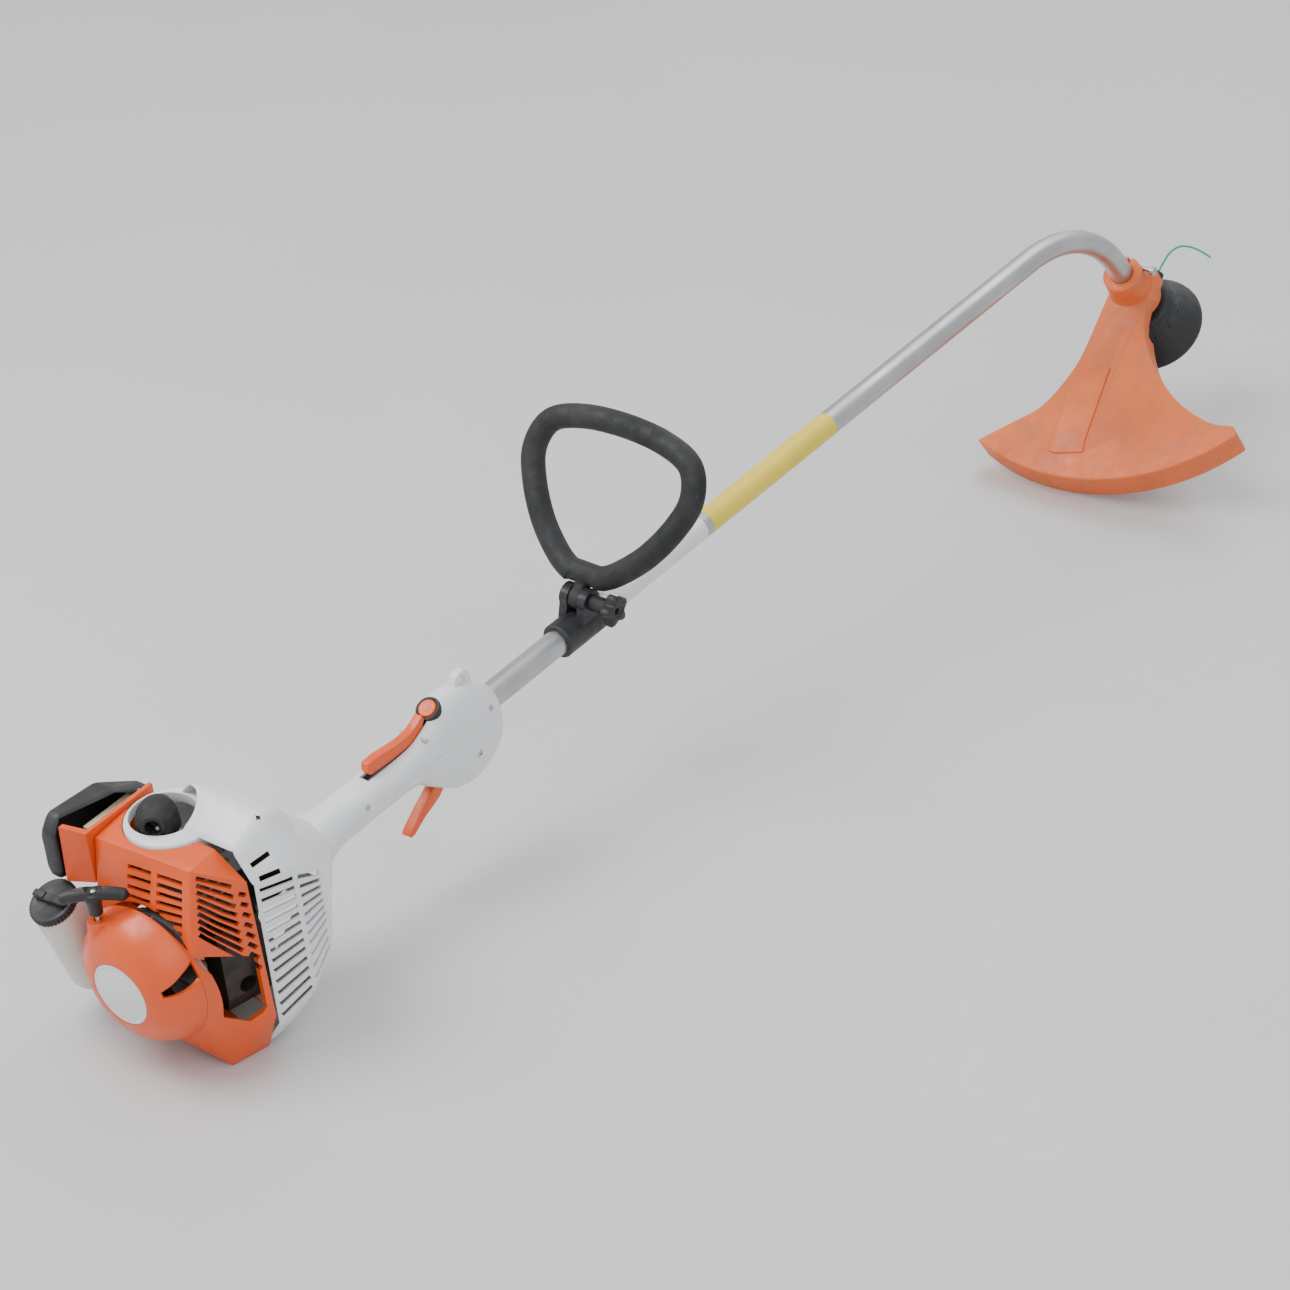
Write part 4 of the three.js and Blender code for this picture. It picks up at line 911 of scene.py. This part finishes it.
def clamp():
    for side, name, node in ((1, "clamp_half_left", "clamp_left_half"),
                             (-1, "clamp_half_right", "clamp_right_half")):
        saddle = lathe((0, 0, 0), X, [(592, 16.4), (593.4, 17.4), (650.6, 17.4), (652, 16.4)], 48)
        ear = rod((BOLT.x, 6 * side, BOLT.z), (BOLT.x, 15 * side, BOLT.z), 12, count=48)
        web = hull([Vector((x, y * side, z)) for x,
                    z in ((614, 10), (646, 10), (620, 30), (640, 30)) for y in (6, 15)])
        boolean(saddle, [ear, web], "UNION")
        bore = rod((580, 0, 0), (670, 0, 0), TUBE_R + 0.3, count=56)
        bolt_hole = rod((BOLT.x, -40, BOLT.z), (BOLT.x, 40, BOLT.z), 3.4)
        fork = block((BOLT.x, 0, BOLT.z + 10), (32, 11.8, 44))
        other = block((625, -20.2 * side, 10), (120, 40.8, 120))
        boolean(saddle, [bore, bolt_hole, fork, other])
        bevel(saddle, 1.0, 3, 35)
        piece(saddle, name, BLACK, "loop_clamp", [node], 40)
    shank = rod((BOLT.x, -33.8, BOLT.z), (BOLT.x, 16, BOLT.z), 2.95)
    head = rings([circle((BOLT.x, y, BOLT.z), Y, r, 6) for y, r in ((15.5, 6), (18.7, 6), (19.4, 5.2))])
    boolean(shank, [head], "UNION")
    piece(shank, "clamp_bolt_steel", STEEL, "loop_clamp", ["clamp_bolt"])

    def lobed(y, r, depth):
        points = []
        for i in range(120):
            a = 2 * math.pi * i / 120
            q = r + depth * math.cos(5 * (a - 0.3))
            points.append(Vector((BOLT.x + q * math.cos(a), y, BOLT.z + q * math.sin(a))))
        return points

    star = rings([lobed(-16, 7.8, 0), lobed(-34, 8.2, 0), lobed(-36, 12.4, 2.4), lobed(-37.5, 13.4, 2.8),
                  lobed(-44.6, 13.4, 2.8), lobed(-46.6, 11.8, 2.2), lobed(-46.9, 7.6, 0),
                  lobed(-45, 5.6, 0)])
    boolean(star, [rod((BOLT.x, -10, BOLT.z), (BOLT.x, -50, BOLT.z), 3.1)])
    bevel(star, 0.4, 2, 50)
    piece(star, "clamp_star_knob", BLACK, "clamp_knob", ["clamp_knob"], 45)


# ---- Deflector ----
RIM_LEFT, RIM_RIGHT = 20, -57
NECK_LEFT = [(-26, 20), (20, 20), (85, 15), (120, 17), (165, 30), (196, 56)]
NECK_RIGHT = [(122, -192), (126, -165), (116, -125), (96, -90), (70, -60), (30, -34), (-26, -24)]


def deflector_outline(r, inset, count=48):
    arc = []
    for i in range(count + 1):
        a = math.radians(RIM_LEFT + (RIM_RIGHT - RIM_LEFT) * i / count)
        arc.append((r * math.cos(a), r * math.sin(a)))
    left = smooth_flat([(b, l - inset) for b, l in NECK_LEFT])
    right = smooth_flat([(b, l + inset * 1.2) for b, l in NECK_RIGHT])
    return [*left, *arc, *right]


def smooth_flat(points):
    return [(p.x, p.y) for p in smooth_points([(b, l, 0) for b, l in points], 4)]


def deflector():
    def slab(outline, start, end):
        return rings([[head_point(start, b, l) for b, l in outline],
                      [head_point(end, b, l) for b, l in outline]])

    shell = slab(deflector_outline(SHIELD_R, 0), 8, 46)
    bevel(shell, 2.4, 4, 50)
    inner = slab(deflector_outline(SHIELD_R - WALL, WALL), 8 + WALL, 60)
    relief = rod(head_point(8 + WALL + 16, 0), head_point(60, 0), 60, count=96)
    boolean(shell, [inner, relief])
    # A raised band runs across the plate, with the line cutter's pocket at its lower right.
    band = slab([(116, 14), (214, -6), (214, -14), (203, -44), (190, -40), (99, -26)], 5.6, 9)
    bevel(band, 1.2, 3)
    socket = rings([circle(head_point(out, 0), OUT, r, 64) for out, r in
                    ((-22, 20), (-20.5, 22), (0, 23), (10, 25), (30, 28), (34, 28))])
    boolean(shell, [socket, band], "UNION")
    tube_bore = rod(head_point(-40, 0), head_point(4, 0), TUBE_R + 0.3, count=56)
    bearing_bore = rod(head_point(3, 0), head_point(40, 0), 14, count=56)
    screw_bore = rod(head_point(-12, -17, -40), head_point(-12, -17, 40), 2.8)
    basis = Matrix((BACK, Y, OUT)).transposed().to_quaternion()
    slit = block(head_point(-12, -26), (24, 5, 20), basis)
    boolean(shell, [tube_bore, bearing_bore, screw_bore, slit])
    bevel(shell, 0.5, 2, 45)
    piece(shell, "deflector_shell", SHIELD_ORANGE, replaces=["deflector"], sharp=40)


# ---- Cutting head ----
def cutting_head():
    body = lathe(head_point(0, 0), OUT, [(40, 30), (40.6, 33), (42, 35.5), (46, 37.6), (60, 39.4),
                                         (66, 40.4), (72, 43.4),
                                         (78, 47.8), (86, 54), (91, 57), (94, 57.9), (95.9, 57.4)], 96)
    eyelet = hull([*circle(head_point(50, -43.6), BACK, 7), *circle(head_point(50, -34), BACK, 9)])
    boolean(body, [eyelet], "UNION")
    spool_room = rod(head_point(52, 0), head_point(110, 0), 34, count=96)
    dish = rings([circle(head_point(out, 0), OUT, r, 96) for out,
                  r in ((74, 34), (80, 40), (88, 48.5), (97, 55.6))])
    bore = rod(head_point(30, 0), head_point(60, 0), 8.3, count=48)
    line_bore = rod(head_point(50, -20), head_point(50, -60), 2)
    grips = [rod(head_point(44, 41 * math.cos(a), 41 * math.sin(a)),
                 head_point(62, 43 * math.cos(a), 43 * math.sin(a)), 4)
             for a in [2 * math.pi * (k + 0.5) / 12 for k in range(12)]]
    boolean(body, [spool_room, dish, bore, line_bore, join(grips)])
    bevel(body, 0.5, 2, 45)
    piece(body, "head_body", BLACK, "head", ["head_housing"], 40)
    cap = lathe(head_point(0, 0), OUT, [(73.6, 29.6), (80, 30), (84, 29.6), (90, 27), (95, 23),
                                        (99, 17.4), (100.6, 12),
                                        (101, 4)], 80)
    piece(cap, "bump_cap", BLACK, "spool", ["spool_cap"])


def screws():
    """Small screw heads on the handle."""
    spots = [
        ("handle_screw_front", Vector((470, -20.5, 8)), Vector((0, -1, 0)), 3.6, "machine"),
        ("handle_screw_rear", Vector((300, -18.6, 6)), Vector((0, -1, 0.1)), 3.2, "machine"),
        ("handle_screw_low", Vector((446, -23.4, -26)), Vector((0, -1, -0.1)), 3.6, "machine"),
    ]
    for name, at, axis, r, body in spots:
        axis = axis.normalized()
        cup = lathe(at, axis, [(-3, r), (0.2, r), (0.7, r * 0.8), (0.9, r * 0.3)], 32)
        star = rings([circle(at + axis * a, axis, r * 0.45, 6) for a in (0.1, 2.0)])
        boolean(cup, [star])
        piece(cup, name, STEEL, body)


# ---- Floor and light ----
def studio():
    floor = from_faces([(-6, -6, 0), (6, -6, 0), (6, 6, 0), (-6, 6, 0)], [(0, 1, 2, 3)])
    floor.name = "floor"
    n = Nodes("studio_floor")
    tone = n.mix(n.ramp(n.noise(1.6, 4), 0.3, 0.7), (0.60, 0.60, 0.60), (0.64, 0.64, 0.64))
    n.link(tone, n.shader.inputs["Base Color"])
    n.link(n.ramp(n.noise(40, 6), 0.3, 0.7, 0.32, 0.46), n.shader.inputs["Roughness"])
    n.link(n.bump(n.noise(240, 3), 0.05, 0.0004), n.shader.inputs["Normal"])
    floor.data.materials.append(n.material)
    world = bpy.data.worlds.new("world")
    world.use_nodes = True
    world.node_tree.nodes["Background"].inputs["Color"].default_value = (0.95, 0.97, 1.0, 1)
    world.node_tree.nodes["Background"].inputs["Strength"].default_value = 0.9
    bpy.context.scene.world = world
    for name, at, size, power in (("key", (-1.6, 1.2, 2.6), 1.9, 84),
                                  ("fill", (-2.0, -2.2, 2.2), 2.6, 26),
                                  ("rim", (2.2, 0.4, 2.4), 2.0, 30)):
        light = bpy.data.objects.new(name, bpy.data.lights.new(name, "AREA"))
        light.data.size = size
        light.data.energy = power
        light.location = at
        light.rotation_euler = (Vector((0, 0, 0.1)) - Vector(at)).to_track_quat("-Z", "Y").to_euler()
        bpy.context.scene.collection.objects.link(light)


starter_dome()
badge()
starter_grip()
starter_rope()
engine_cover()
engine_shroud()
plug_boot()
filter_cover()
fuel_tank()
fuel_cap()
handle_shells()
controls()
shaft()
loop_handle()
clamp()
deflector()
cutting_head()
screws()
studio()
